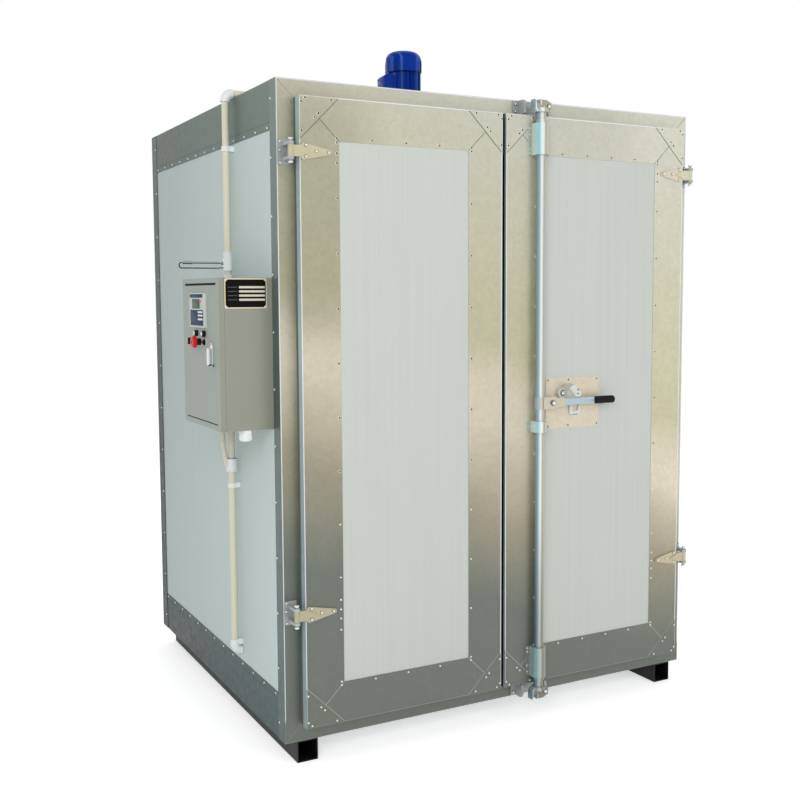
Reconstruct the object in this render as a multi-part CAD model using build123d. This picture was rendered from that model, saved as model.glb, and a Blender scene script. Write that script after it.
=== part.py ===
from build123d import *
from math import asin, degrees, hypot
import os

# Powder coating oven: an insulated cabinet on two skids, closed by two
# hinged doors with a cam lock rod, with a control cabinet on its left side
# and a fan motor on its roof.
# The drawing frame: X across, 0 in the middle of the body, Y from the front
# frame's face to the back, Z up from the underside of the body.

# Body
body_width = 1724
body_depth = 1515
body_height = 2200
wall_thickness = 100
sheet = 1.5
frame_depth = 58
frame_lap = 42
trim_height = 160
rear_strip = 70

# Skids
skid_size = 75
skid_wall = 4
skid_inset = 44
skid_setback = 40

# Doors
door_gap = 15
door_split = -24.5
door_thickness = 28
gasket_depth = 22
gasket_clear = 0.3
door_sheet = 2
rail_width = 140
gusset_sheet = 1.5
plug_depth = 50
plug_inset = 15
plug_meeting_inset = 20

# Door hinges
pin_radius = 5
pin_clear = 0.1
knuckle_radius = 9
knuckle_length = 36
hinge_side = 26
hinge_proud = 7
strap_thickness = 6
strap_tip = 136
strap_knee = 46
strap_knee_height = 54
strap_tip_radius = 8
strap_root = 8
arm_thickness = 4
arm_shoulder = 29
arm_tip = 72
lug_radius = 11
lug_thickness = 10
lug_gap = 0.5
bracket_inset = 2
bracket_width = 44
bracket_height = 80
bracket_sheet = 5
upper_hinge_drop = 236
lower_hinge_z = 450

# Lock rod
rod_radius = 16.85
rod_x = 117
rod_proud = 25
rod_bush_clear = 0.2
guide_length = 112
guide_edge = 30
guide_radius = 27.5
guide_wall = 3
guide_flange = 14
saddle_length = 40
saddle_z = 1023
cam_height = 44
cam_edge_gap = 8
cam_half = 36
cam_thickness = 30
cam_fillet = 5
cam_horn = 13
cam_slot = 8
cam_slot_depth = 16
cam_boss_radius = 25
cam_boss = 14
collar_radius = 21
collar_height = 12
collar_gap = 1
keeper_gap = 8
keeper_cheek = 9
keeper_reach = 48
keeper_sheet = 6
keeper_height = 50
keeper_foot = 20
keeper_round = 14

# Lock handle
handle_z = 1110
handle_pivot = 40
handle_proud = 38
handle_width = 26
handle_thickness = 8
handle_round = 2.5
handle_length = 326
rib_start = 188
rib_length = 48
rib_width = 7
rib_depth = 2
grip_length = 90
grip_radius = 14
grip_round = 4
grip_end = 5
fork_wall = 5
fork_clear = 0.3
fork_reach = 98
fork_height = 31
fork_web = 4
block_reach = 57
block_height = 43
block_proud = 3
bolt_proud = 5
plate_x = 160
plate_width = 242
plate_low = 1008
plate_height = 188
plate_sheet = 2
catch_x = 290
catch_width = 50
catch_sheet = 5
catch_low = 1045
catch_window = (24, 36)
catch_window_low = 25
catch_window_high = 49
catch_clear = 5
catch_pivot = 62
catch_rise = 30
catch_boss_radius = 20
catch_boss = 8
catch_lever = 4
lever_top = (24, 35)
lever_fold = (4, 21)
lever_toe = (31, 50)
lever_heel = 59

# Control cabinet
cabinet_start = 59
cabinet_width = 400
cabinet_drop = 637
cabinet_height = 500
cabinet_depth = 185
cabinet_wall = 2
cabinet_door_depth = 18
cabinet_door_gap = 0.5
cabinet_hinge_radius = 5
cabinet_pin_radius = 2.5
cabinet_knuckle = 22
cabinet_knuckle_web = 4
cabinet_hinge_inset = 70
cabinet_leaf = 20
cabinet_leaf_sheet = 2
slot_inset = 20
slot_margin = 30
slot_width = 3
slot_depth = 1

# Control cabinet fittings, placed from the cabinet's front lower corner
controller_width = 166
controller_height = 117
controller_proud = 9
controller_round = 5
controller_chamfer = 2
controller_y = 212
controller_z = 393
lamp_radius = 11
lamp_proud = 12
lamp_y = (153, 237)
lamp_z = 315
switch_z = 287
selector_y = 286
selector_radius = 12
selector_proud = 20
selector_knob = 8
stop_y = 194
stop_radius = 20
stop_proud = 34
stop_stem = 12
stop_head = 14
stop_round = 6
stop_travel = 4
button_y = 148
button_radius = 11
button_cap_radius = 7.7
button_collar = 5
button_proud = 10
stem_clear = 0.5
latch_y = 68
latch_z = 248
latch_height = 80
latch_width = 28
latch_base = 6
latch_proud = 20
paddle_height = 60
paddle_width = 20
paddle_drop = 6
paddle_round = 4
plate_sign_width = 145
plate_sign_height = 98
plate_sign_sheet = 1
plate_sign_side = 1
plate_sign_drop = 2

# Conduits and probe
pipe_radius = 12.5
fitting_radius = 16
pipe_off_wall = 27
pipe_y = 430
coupling_length = 64
entry_height = 14
roof_pipe_clear = 0.3
elbow_radius = 26
wall_entry_z = 200
clip_width = 18
clip_wall = 3
clip_clear = 0.2
entry_clip_rise = 35
wye_clip_drop = 52
top_clip_drop = 178
wye_drop = 193
wye_height = 46
wye_radius = 19
branch_radius = 8
branch_off = 30
branch_bend = 40
branch_slope = 80
branch_seat = 2
gland_x = 92
gland_y = 27
gland_radius = 25
gland_nut = 12
gland_cap_radius = 20
gland_height = 38
gland_round = 4
probe_y = 550
probe_rise = 62
probe_reach = 160
probe_radius = 4
probe_flange_radius = 15
probe_flange = 5
probe_hub_radius = 8
probe_hub = 15
probe_boot_radius = 6
probe_boot = 38
lead_radius = 2
lead_bend = 10
lead_arc = 9
lead_drop = 20

# Fan motor
motor_y = 757
motor_stool_height = 70
motor_stool_width = 124
motor_neck_radius = 50
motor_plate = 10
motor_flange_radius = 66
motor_flange = 14
motor_core_radius = 62
motor_fin_radius = 72
motor_fin_count = 28
motor_fin = 3
motor_body_height = 140
fan_cover_radius = 74
fan_cover_height = 84
fan_cover_round = 34
cover_channels = 4
channel_turn = 220
channel_width = 37
channel_height = 34
channel_bead = 9
channel_proud = 3
vent_count = 12
vent_width = 5
vent_depth = 4
vent_start = 12
vent_end = 34
terminal_turn = 172
terminal_pad = 64
terminal_pad_width = 68
terminal_depth = 33
terminal_width = 104
terminal_height = 56
terminal_rise = 152
terminal_chamfer = 5
fin_root = 4

# Places worked out from the driving dimensions
half_width = body_width / 2
panel_face = half_width - 2 * sheet
trim_face = half_width - sheet
inner_x = half_width - wall_thickness
inner_back = body_depth - wall_thickness
core_back = body_depth - 2 * sheet
trim_back = body_depth - sheet
door_low = wall_thickness - frame_lap
door_high = body_height - wall_thickness + frame_lap
door_edge = half_width - wall_thickness + frame_lap
door_back = -gasket_depth
door_front = door_back - door_thickness
panel_front = door_front + door_sheet
plate_front = panel_front - plate_sheet
left_meeting = door_split - door_gap / 2
right_meeting = door_split + door_gap / 2
left_door_edges = (-door_edge, left_meeting)
right_door_edges = (right_meeting, door_edge)
pin_x = half_width - hinge_side
pin_y = door_front - hinge_proud
upper_hinge_z = body_height - upper_hinge_drop
hinge_zs = (lower_hinge_z, upper_hinge_z)
rod_y = door_front - rod_proud
rod_z = (door_low - cam_edge_gap, door_high + cam_edge_gap)
pivot_x = rod_x + handle_pivot
handle_y = door_front - handle_proud
cabinet_end = cabinet_start + cabinet_width
cabinet_high = body_height - cabinet_drop
cabinet_low = cabinet_high - cabinet_height
cabinet_face = -panel_face - cabinet_depth
cabinet_rim = cabinet_face + cabinet_door_depth
cabinet_pin_x = cabinet_face + cabinet_door_depth / 2
cabinet_pin_y = cabinet_end + cabinet_hinge_radius
pipe_x = -panel_face - pipe_off_wall
probe_z = cabinet_high + probe_rise
coupling_z = probe_z - coupling_length / 2
wye_z = cabinet_low - wye_drop
clip_zs = (wall_entry_z + entry_clip_rise, wye_z - wye_clip_drop, body_height - top_clip_drop)
roof_pipe_z = body_height + fitting_radius + roof_pipe_clear
terminal_z = body_height + terminal_rise
terminal_entry = Pos(0, motor_y) * Rot(0, 0, terminal_turn) * Pos(terminal_pad + terminal_depth / 2, 0)
terminal_x, terminal_y = terminal_entry.position.X, terminal_entry.position.Y


def block(x0, x1, y0, y1, z0, z1):
    """A box between two corners."""
    middle = Location(((x0 + x1) / 2, (y0 + y1) / 2, (z0 + z1) / 2))
    return middle * Box(x1 - x0, y1 - y0, z1 - z0)


def slab_x(outline, x0, x1):
    """An outline drawn in Y and Z, thick from x0 to x1."""
    return extrude(Plane.YZ.offset(x0) * outline, x1 - x0, dir=(1, 0, 0))


def slab_y(outline, y0, y1):
    """An outline drawn in X and Z, thick from y0 to y1."""
    return extrude(Plane.XZ.offset(-y0) * outline, y1 - y0, dir=(0, 1, 0))


def slab_z(outline, z0, z1):
    """An outline drawn in X and Y, thick from z0 to z1."""
    return extrude(Plane.XY.offset(z0) * outline, z1 - z0, dir=(0, 0, 1))


def rod_along_x(x0, x1, y, z, radius):
    return slab_x(Pos(y, z) * Circle(radius), x0, x1)


def rod_along_y(y0, y1, x, z, radius):
    return slab_y(Pos(x, z) * Circle(radius), y0, y1)


def rod_along_z(z0, z1, x, y, radius):
    return slab_z(Pos(x, y) * Circle(radius), z0, z1)


def outline(*points):
    """A flat outline through the points, facing up whichever way they run."""
    face = Polygon(*points, align=None)
    if face.face().normal_at().Z < 0:
        face = Polygon(*reversed(points), align=None)
    return face


def across(shape):
    """The same shape on the other side of the middle plane."""
    return mirror(shape, about=Plane.YZ)


# Skids and walls
def skid():
    """Left skid: an open-ended square tube from the front to near the back."""
    x0 = -half_width + skid_inset
    x1 = x0 + skid_size
    back = body_depth - skid_setback
    tube = block(x0, x1, 0, back, -skid_size, 0)
    bore = block(x0 + skid_wall, x1 - skid_wall, 0, back, skid_wall - skid_size, -skid_wall)
    return tube - bore


def wall_core(z0, z1):
    """Left wall between the front frame and the back, without its edge channels."""
    return block(-panel_face, -inner_x - sheet, frame_depth, trim_back, z0, z1)


def back_core(z0, z1):
    return block(-inner_x, inner_x, inner_back + sheet, core_back, z0, z1)


def edge_channel(outer, inner, edge, tip):
    """Section of the folded channel that caps a wall's top or bottom edge."""
    floor = edge + (sheet if tip > edge else -sheet)
    skin = sheet if inner > outer else -sheet
    return outline(
        (outer, edge), (outer, tip), (outer + skin, tip), (outer + skin, floor),
        (inner - skin, floor), (inner - skin, tip), (inner, tip), (inner, edge),
    )


def side_channel(edge, tip):
    return slab_y(edge_channel(-trim_face, -inner_x, edge, tip), frame_depth, trim_back)


def back_channel(edge, tip):
    return slab_x(edge_channel(trim_back, inner_back, edge, tip), -inner_x, inner_x)


def side_channels(edge, tip):
    """Channels on the left and right walls."""
    side = side_channel(edge, tip)
    return [side, across(side)]


def back_channels():
    """Channels on the back wall's two edges."""
    return [back_channel(0, trim_height), back_channel(body_height, body_height - trim_height)]


def rear_corner():
    """Left rear corner strip, folded round both walls and laid over the channels."""
    side = block(-half_width, -trim_face, body_depth - rear_strip, body_depth, 0, body_height)
    back = block(-half_width, rear_strip - half_width, trim_back, body_depth, 0, body_height)
    return side + back


def front_post():
    """Left upright of the front frame, mitred at both ends."""
    inner_low, inner_high = wall_thickness, body_height - wall_thickness
    face = outline((-half_width, 0), (-inner_x, inner_low), (-inner_x, inner_high), (-half_width, body_height))
    return slab_y(face, 0, frame_depth)


def front_bar(edge, inner):
    """Header or sill of the front frame, mitred at both ends."""
    face = outline((-half_width, edge), (-inner_x, inner), (inner_x, inner), (half_width, edge))
    return slab_y(face, 0, frame_depth)


def deck(z0):
    """Floor or roof panel between the walls."""
    return block(-inner_x, inner_x, frame_depth, inner_back, z0, z0 + wall_thickness)


# Doors, each given by its two upright edges
def door_ring(x0, x1, inset, width, y0, y1):
    """A flat ring that follows the door's outline."""
    outer = block(x0 + inset, x1 - inset, y0, y1, door_low + inset, door_high - inset)
    step = inset + width
    inner = block(x0 + step, x1 - step, y0, y1, door_low + step, door_high - step)
    return outer - inner


def door_frame(x0, x1):
    """Galvanised channel round the door's edge, with wide legs on both faces."""
    front_leg = door_ring(x0, x1, 0, rail_width, door_front, door_front + door_sheet)
    web = door_ring(x0, x1, 0, door_sheet, door_front, door_back)
    back_leg = door_ring(x0, x1, 0, frame_lap, door_back - door_sheet, door_back)
    return front_leg + web + back_leg


def door_panel(x0, x1):
    """Insulated white panel held by the channel."""
    skin = door_sheet
    low, high = door_low + skin, door_high - skin
    return block(x0 + skin, x1 - skin, door_front + skin, door_back - skin, low, high)


def door_gussets(x0, x1):
    """Triangular plates riveted over the four corners."""
    plates = []
    for x, way in ((x0, 1), (x1, -1)):
        for z, rise in ((door_low, 1), (door_high, -1)):
            face = outline((x, z), (x + way * rail_width, z), (x, z + rise * rail_width))
            plates.append(slab_y(face, door_front - gusset_sheet, door_front))
    return plates


def plug_edges(x0, x1):
    """Upright edges of the plug: one near the jamb, one near the meeting edge."""
    if abs(x0) > abs(x1):
        return plug_inset - inner_x, x1 - plug_meeting_inset
    return x0 + plug_meeting_inset, inner_x - plug_inset


def door_plug(x0, x1):
    """Insulated block that fills the doorway when the door is shut."""
    left, right = plug_edges(x0, x1)
    low = wall_thickness + plug_inset
    high = body_height - wall_thickness - plug_inset
    return block(left, right, door_back, plug_depth, low, high)


def door_gasket(x0, x1):
    """Seal round the plug, just off the front frame."""
    left, right = plug_edges(x0, x1)
    low = wall_thickness + plug_inset
    high = body_height - wall_thickness - plug_inset
    edge = door_sheet
    outer = block(x0 + edge, x1 - edge, door_back, -gasket_clear, door_low + edge, door_high - edge)
    return outer - block(left, right, door_back, -gasket_clear, low, high)


def hinge_strap(z):
    """Left strap: a tapered leaf on the door under the pointed arm of the knuckle."""
    half, half_knee = knuckle_length / 2, strap_knee_height / 2
    door_side = pin_x - door_edge + door_sheet
    knuckle = rod_along_z(z - half, z + half, -pin_x, pin_y, knuckle_radius)
    root = outline(
        (-pin_x, z - half), (door_side - pin_x, z - half),
        (door_side + strap_root - pin_x, z - half_knee), (strap_knee - pin_x, z - half_knee),
        (strap_tip - pin_x, z - strap_tip_radius), (strap_tip - pin_x, z + strap_tip_radius),
        (strap_knee - pin_x, z + half_knee), (door_side + strap_root - pin_x, z + half_knee),
        (door_side - pin_x, z + half), (-pin_x, z + half),
    )
    leaf = root + Pos(strap_tip - pin_x, z) * Circle(strap_tip_radius)
    leaf_front = door_front - strap_thickness
    strap = slab_y(leaf, leaf_front, door_front)
    arm = outline(
        (-pin_x, z - half), (arm_shoulder - pin_x, z - half), (arm_tip - pin_x, z),
        (arm_shoulder - pin_x, z + half), (-pin_x, z + half),
    )
    strap += slab_y(arm, leaf_front - arm_thickness, leaf_front)
    bore = rod_along_z(z - knuckle_length, z + knuckle_length, -pin_x, pin_y, pin_radius + pin_clear)
    return strap + knuckle - bore


def hinge_bracket(z):
    """Left bracket on the front frame: plate, two lugs and the pin."""
    x0 = -half_width + bracket_inset
    low, high = z - bracket_height / 2, z + bracket_height / 2
    bracket = block(x0, x0 + bracket_width, -bracket_sheet, 0, low, high)
    near = knuckle_length / 2 + lug_gap
    far = near + lug_thickness
    for z0, z1 in ((z + near, z + far), (z - far, z - near)):
        arm = block(-pin_x - lug_radius, lug_radius - pin_x, pin_y, 0, z0, z1)
        bracket += arm + rod_along_z(z0, z1, -pin_x, pin_y, lug_radius)
    return bracket + rod_along_z(low, high, -pin_x, pin_y, pin_radius)


def both_heights(make):
    return [make(z) for z in hinge_zs]


def four_corners(make):
    left = both_heights(make)
    return left + [across(piece) for piece in left]


# Lock rod, its guides, cams and keepers
def rod_clamp(z0, z1):
    """A folded cover over the rod, with a flange on each side."""
    bend = Pos(rod_x, rod_y) * Circle(guide_radius)
    bend += Pos(rod_x, door_front) * Rectangle(2 * guide_radius, 2 * rod_proud)
    bend -= Pos(rod_x, door_front + rod_proud) * Rectangle(4 * guide_radius, 2 * rod_proud)
    half = guide_radius + guide_flange
    flange = outline(
        (rod_x - half, door_front - guide_wall), (rod_x + half, door_front - guide_wall),
        (rod_x + half, door_front), (rod_x - half, door_front),
    )
    bore = Pos(rod_x, rod_y) * Circle(rod_radius + rod_bush_clear)
    return slab_z(bend + flange - bore, z0, z1)


def rod_guides():
    """A long guide near each end of the rod and a short saddle between them."""
    low = door_low + guide_edge
    high = door_high - guide_edge
    saddle_low = saddle_z - saddle_length / 2
    low_gusset, high_gusset = door_gussets(*right_door_edges)[:2]
    return [
        rod_clamp(low, low + guide_length) - low_gusset,
        rod_clamp(high - guide_length, high) - high_gusset,
        rod_clamp(saddle_low, saddle_low + saddle_length),
    ]


def cam(edge, way):
    """Cam at one end of the rod: a thick plate with a horn, a slot and a round shoulder."""
    tip = edge + way * cam_height
    slot_floor = tip - way * cam_slot_depth
    horn_x = rod_x - cam_half + cam_horn
    root = edge + way * cam_height / 4
    shoulder = tip - way * cam_height / 4
    face = outline(
        (rod_x - cam_half, tip), (horn_x, slot_floor), (horn_x + cam_slot, slot_floor),
        (horn_x + cam_slot, tip), (rod_x + cam_horn, tip), (rod_x + cam_half, shoulder),
        (rod_x + cam_half, root), (rod_x + cam_boss_radius, edge), (rod_x - cam_boss_radius, edge),
        (rod_x - cam_half, root),
    )
    plate = slab_y(face, rod_y - cam_thickness / 2, rod_y + cam_thickness / 2)
    front = plate.faces().sort_by(Axis.Y)[0]
    plate = fillet(front.edges(), cam_fillet)
    low, high = sorted((edge, edge + way * cam_boss))
    return plate + rod_along_z(low, high, rod_x, rod_y, cam_boss_radius)


def lock_rod():
    """Rod with a cam at each end and a collar beside each guide."""
    low, high = rod_z
    rod = rod_along_z(low, high, rod_x, rod_y, rod_radius)
    rod += cam(low, -1) + cam(high, 1)
    guide_low, guide_high = door_low + guide_edge, door_high - guide_edge
    for z0 in (guide_low - collar_gap - collar_height, guide_high + collar_gap):
        rod += rod_along_z(z0, z0 + collar_height, rod_x, rod_y, collar_radius)
    return rod


def lock_keeper(middle):
    """Keeper on the front frame: a base plate with a round-nosed cheek each side of the cam."""
    half = hypot(cam_half, cam_thickness / 2) + keeper_gap
    low, high = middle - keeper_height / 2, middle + keeper_height / 2
    outer = half + keeper_cheek
    foot = outer + keeper_foot
    keeper = block(rod_x - foot, rod_x + foot, -keeper_sheet, 0, low, high)
    cheek = Pos(-keeper_reach / 2, middle) * RectangleRounded(keeper_reach, keeper_height, keeper_round)
    cheek += Pos(-keeper_reach / 4, middle) * Rectangle(keeper_reach / 2, keeper_height)
    for x0 in (rod_x - outer, rod_x + half):
        keeper += slab_x(cheek, x0, x0 + keeper_cheek)
    return keeper


def lock_keepers():
    low, high = rod_z
    return [lock_keeper(low - cam_height / 2), lock_keeper(high + cam_height / 2)]


# Handle and what it lies on
def handle_hub():
    """Clamp block on the rod with two fork arms and the handle's pivot bolt through them."""
    low, high = handle_z - fork_height / 2, handle_z + fork_height / 2
    block_low, block_high = handle_z - block_height / 2, handle_z + block_height / 2
    half = handle_thickness / 2 + fork_clear
    front, back = handle_y - half - fork_wall, handle_y + half + fork_wall
    hub = rod_along_z(block_low, block_high, rod_x, rod_y, collar_radius)
    hub += block(rod_x, pivot_x - handle_width / 2 - fork_web, front, back, block_low, block_high)
    for y0 in (front, back - fork_wall):
        hub += block(rod_x, rod_x + fork_reach, y0, y0 + fork_wall, low, high)
        hub += block(rod_x, rod_x + block_reach, y0, y0 + fork_wall, block_low, block_high)
    hub += block(rod_x, rod_x + block_reach, front - block_proud, front, block_low, block_high)
    bore = rod_along_z(block_low, block_high, rod_x, rod_y, rod_radius)
    bolt = rod_along_y(front - block_proud - bolt_proud, back + bolt_proud, pivot_x, handle_z, pin_radius)
    return hub - bore + bolt


def handle_bar():
    """Flat bar on the pivot bolt, with a pressed groove near the grip."""
    half_height, half_depth = handle_width / 2, handle_thickness / 2
    end = rod_x + handle_length - grip_end
    face = Pos(pivot_x, handle_z) * Circle(half_height)
    face += outline(
        (pivot_x, handle_z - half_height), (end, handle_z - half_height),
        (end, handle_z + half_height), (pivot_x, handle_z + half_height),
    )
    face -= Pos(pivot_x, handle_z) * Circle(pin_radius + pin_clear)
    front = handle_y - half_depth
    bar = slab_y(face, front, handle_y + half_depth)
    bar = fillet(bar.edges().filter_by(Axis.X), handle_round)
    groove = Pos(rod_x + rib_start + rib_length / 2, handle_z) * SlotOverall(rib_length, rib_width)
    return bar - slab_y(groove, front, front + rib_depth)


def handle_grip():
    """Rubber sleeve over the end of the bar."""
    end = rod_x + handle_length
    grip = rod_along_x(end - grip_length, end, handle_y, handle_z, grip_radius)
    grip = fillet(grip.edges().filter_by(GeomType.CIRCLE), grip_round)
    return grip - handle_bar()


def handle_plate():
    """Backing plate on the right door behind the handle."""
    high = plate_low + plate_height
    return block(plate_x, plate_x + plate_width, plate_front, panel_front, plate_low, high)


def handle_catch():
    """Padlock hasp on the backing plate, with a tilted lever on a boss above the bar."""
    half = catch_width / 2
    round_z = catch_low + half
    bar_low, bar_high = handle_z - handle_width / 2, handle_z + handle_width / 2
    boss_x, boss_z = catch_x - catch_pivot, handle_z + catch_rise
    face = Pos(catch_x, round_z) * Circle(half) + Pos(boss_x, boss_z) * Circle(catch_boss_radius)
    face += outline(
        (catch_x - half, round_z), (catch_x + half, round_z), (catch_x + half, bar_high),
        (boss_x, boss_z + catch_boss_radius), (boss_x, boss_z - catch_boss_radius),
        (catch_x - half, bar_low),
    )
    foot, head = (width / 2 for width in catch_window)
    window_low, window_high = catch_low + catch_window_low, catch_low + catch_window_high
    face -= outline(
        (catch_x - foot, window_low), (catch_x + foot, window_low),
        (catch_x + head, window_high), (catch_x - foot, window_high),
    )
    front = plate_front - catch_sheet
    hasp = slab_y(face, front, plate_front)
    hasp += rod_along_y(front - catch_boss, front, boss_x, boss_z, catch_boss_radius)
    return hasp + catch_arm(boss_x, boss_z, front)


def catch_arm(boss_x, boss_z, back):
    """Lever plate in front of the bar's path, folded back to its boss."""
    low = handle_z + handle_width / 2 + catch_clear
    front = handle_y - handle_thickness / 2 - catch_clear - catch_lever
    top = (boss_x + lever_top[0], boss_z + lever_top[1])
    fold = (boss_x + lever_fold[0], boss_z + lever_fold[1])
    toe = [(boss_x + x, low) for x in lever_toe]
    plate = outline(top, fold, *toe, (boss_x + lever_heel, boss_z))
    web = outline(top, fold, (fold[0], fold[1] - catch_lever), (top[0] + catch_lever, top[1] - catch_lever))
    return slab_y(plate, front, front + catch_lever) + slab_y(web, front, back)


# Control cabinet
def cabinet_box():
    """Steel box on the left wall: a back sheet with four side sheets welded to it."""
    skin = cabinet_wall
    mouth, back = cabinet_rim + cabinet_door_gap, -panel_face - skin
    sheets = [block(back, back + skin, cabinet_start, cabinet_end, cabinet_low, cabinet_high)]
    for z in (cabinet_low, cabinet_high - skin):
        sheets.append(block(mouth, back, cabinet_start, cabinet_end, z, z + skin))
    for y in (cabinet_start, cabinet_end - skin):
        sheets.append(block(mouth, back, y, y + skin, cabinet_low + skin, cabinet_high - skin))
    return sheets


def cabinet_hinge(top):
    """Leaf on the box's far side with the lower knuckle and the pin."""
    low = top - cabinet_knuckle
    half_leaf = cabinet_leaf_sheet / 2
    leaf_end = cabinet_rim + cabinet_leaf
    hinge = rod_along_z(low, top, cabinet_pin_x, cabinet_pin_y, cabinet_hinge_radius)
    hinge += block(cabinet_pin_x, leaf_end, cabinet_pin_y - half_leaf, cabinet_pin_y + half_leaf, low, top)
    hinge += block(cabinet_rim + cabinet_leaf_sheet, leaf_end, cabinet_end, cabinet_pin_y, low, top)
    pin_top = top + cabinet_knuckle - cabinet_leaf_sheet
    return hinge + rod_along_z(low, pin_top, cabinet_pin_x, cabinet_pin_y, cabinet_pin_radius)


def cabinet_hinges():
    return [cabinet_hinge(top) for top in cabinet_hinge_zs()]


def cabinet_hinge_zs():
    """Heights where the box's knuckle meets the door's knuckle."""
    return (cabinet_low + cabinet_hinge_inset, cabinet_high - cabinet_hinge_inset)


def cabinet_place(y, z):
    """A point on the cabinet's face, from its front lower corner."""
    return cabinet_start + y, cabinet_low + z


def cabinet_door():
    """Pan door with holes for the switches and a knuckle on each pin."""
    skin = cabinet_wall
    pan = block(cabinet_face, cabinet_rim, cabinet_start, cabinet_end, cabinet_low, cabinet_high)
    pan -= block(
        cabinet_face + skin, cabinet_rim, cabinet_start + skin, cabinet_end - skin,
        cabinet_low + skin, cabinet_high - skin,
    )
    for z in (cabinet_low + slot_inset, cabinet_high - slot_inset):
        y0, y1 = cabinet_start + slot_margin, cabinet_end - slot_margin
        pan -= block(cabinet_face, cabinet_face + slot_depth, y0, y1, z - slot_width / 2, z + slot_width / 2)
    for y, radius in ((selector_y, selector_stem()), (stop_y, stop_stem)):
        hole_y, hole_z = cabinet_place(y, switch_z)
        pan -= rod_along_x(cabinet_face, cabinet_face + skin, hole_y, hole_z, radius + stem_clear)
    for z in cabinet_hinge_zs():
        low = z + lug_gap
        high = low + cabinet_knuckle
        web = cabinet_knuckle_web / 2
        pan += block(cabinet_pin_x - web, cabinet_pin_x + web, cabinet_end, cabinet_pin_y, low, high)
        pan += rod_along_z(low, high, cabinet_pin_x, cabinet_pin_y, cabinet_hinge_radius)
        pan -= rod_along_z(low, high, cabinet_pin_x, cabinet_pin_y, cabinet_pin_radius + pin_clear)
    return pan


def selector_stem():
    return selector_radius / 2


def controller():
    """Temperature controller with a raised bezel."""
    y, z = cabinet_place(controller_y, controller_z)
    front = cabinet_face - controller_proud
    face = Pos(y, z) * RectangleRounded(controller_width, controller_height, controller_round)
    body = slab_x(face, front, cabinet_face)
    return chamfer(body.faces().sort_by(Axis.X)[0].edges(), controller_chamfer)


def pilot_lamps():
    lamps = []
    for place in lamp_y:
        y, z = cabinet_place(place, lamp_z)
        lamp = rod_along_x(cabinet_face - lamp_proud, cabinet_face, y, z, lamp_radius)
        lamps.append(fillet(lamp.faces().sort_by(Axis.X)[0].edges(), lamp_radius / 2))
    return lamps


def push_button():
    y, z = cabinet_place(button_y, switch_z)
    collar = rod_along_x(cabinet_face - button_collar, cabinet_face, y, z, button_radius)
    return collar + rod_along_x(cabinet_face - button_proud, cabinet_face, y, z, button_cap_radius)


def selector_switch():
    """Turning knob on a short stem."""
    y, z = cabinet_place(selector_y, switch_z)
    front = cabinet_face - selector_proud
    base = rod_along_x(front + selector_knob, cabinet_face - stem_clear, y, z, selector_radius)
    stem = rod_along_x(cabinet_face - stem_clear, cabinet_face + cabinet_door_depth / 2, y, z, selector_stem())
    face = Pos(y, z) * SlotOverall(2 * selector_radius - 2, selector_knob, rotation=90)
    grip = slab_x(face, front, front + selector_knob)
    return base + stem + grip


def emergency_stop():
    """Mushroom head on a stem that slides in the door."""
    y, z = cabinet_place(stop_y, switch_z)
    front = cabinet_face - stop_proud
    head = rod_along_x(front, front + stop_head, y, z, stop_radius)
    head = fillet(head.faces().sort_by(Axis.X)[0].edges(), stop_round)
    stem = rod_along_x(front + stop_head, cabinet_face + cabinet_door_depth / 2, y, z, stop_stem)
    return head + stem


def cabinet_latch():
    """Upright paddle handle with a round lock boss."""
    y, z = cabinet_place(latch_y, latch_z)
    base = Pos(y, z) * SlotOverall(latch_height, latch_width, rotation=90)
    paddle = Pos(y, z - paddle_drop) * SlotOverall(paddle_height, paddle_width, rotation=90)
    handle = slab_x(paddle, cabinet_face - latch_proud, cabinet_face)
    handle = fillet(handle.faces().sort_by(Axis.X)[0].edges(), paddle_round)
    return slab_x(base, cabinet_face - latch_base, cabinet_face) + handle


def rating_plate():
    """Plate on the cabinet's front side."""
    x0 = cabinet_rim + plate_sign_side
    z1 = cabinet_high - plate_sign_drop
    return block(x0, x0 + plate_sign_width, cabinet_start - plate_sign_sheet, cabinet_start, z1 - plate_sign_height, z1)


# Conduits
def elbow(corner, first, second):
    """Bent fitting whose two flat ends lie at elbow_radius from its corner."""
    start = corner + first * elbow_radius
    finish = corner + second * elbow_radius
    centre = start + second * elbow_radius
    middle = centre - (first + second).normalized() * elbow_radius
    path = ThreePointArc(start, middle, finish)
    return sweep(Plane(origin=start, z_dir=-first) * Circle(fitting_radius), path)


def wall_pipes():
    """Upright conduits above and below the cabinet, and the branch beside the lower one."""
    upper_low = coupling_z + coupling_length
    upper = rod_along_z(upper_low, roof_pipe_z - elbow_radius, pipe_x, pipe_y, pipe_radius)
    entry = rod_along_z(cabinet_high + entry_height, coupling_z, pipe_x, pipe_y, pipe_radius)
    middle = rod_along_z(wye_z + wye_height, cabinet_low - entry_height, pipe_x, pipe_y, pipe_radius)
    lower = rod_along_z(wall_entry_z + elbow_radius, wye_z, pipe_x, pipe_y, pipe_radius)
    return [upper, entry, middle, lower]


def roof_pipes():
    """Conduits over the roof to the motor's terminal box."""
    over = rod_along_x(pipe_x + elbow_radius, terminal_x - elbow_radius, pipe_y, roof_pipe_z, pipe_radius)
    back = rod_along_y(pipe_y + elbow_radius, terminal_y - elbow_radius, terminal_x, roof_pipe_z, pipe_radius)
    rise = rod_along_z(roof_pipe_z + elbow_radius, terminal_z - entry_height, terminal_x, terminal_y, pipe_radius)
    return [over, back, rise]


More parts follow.
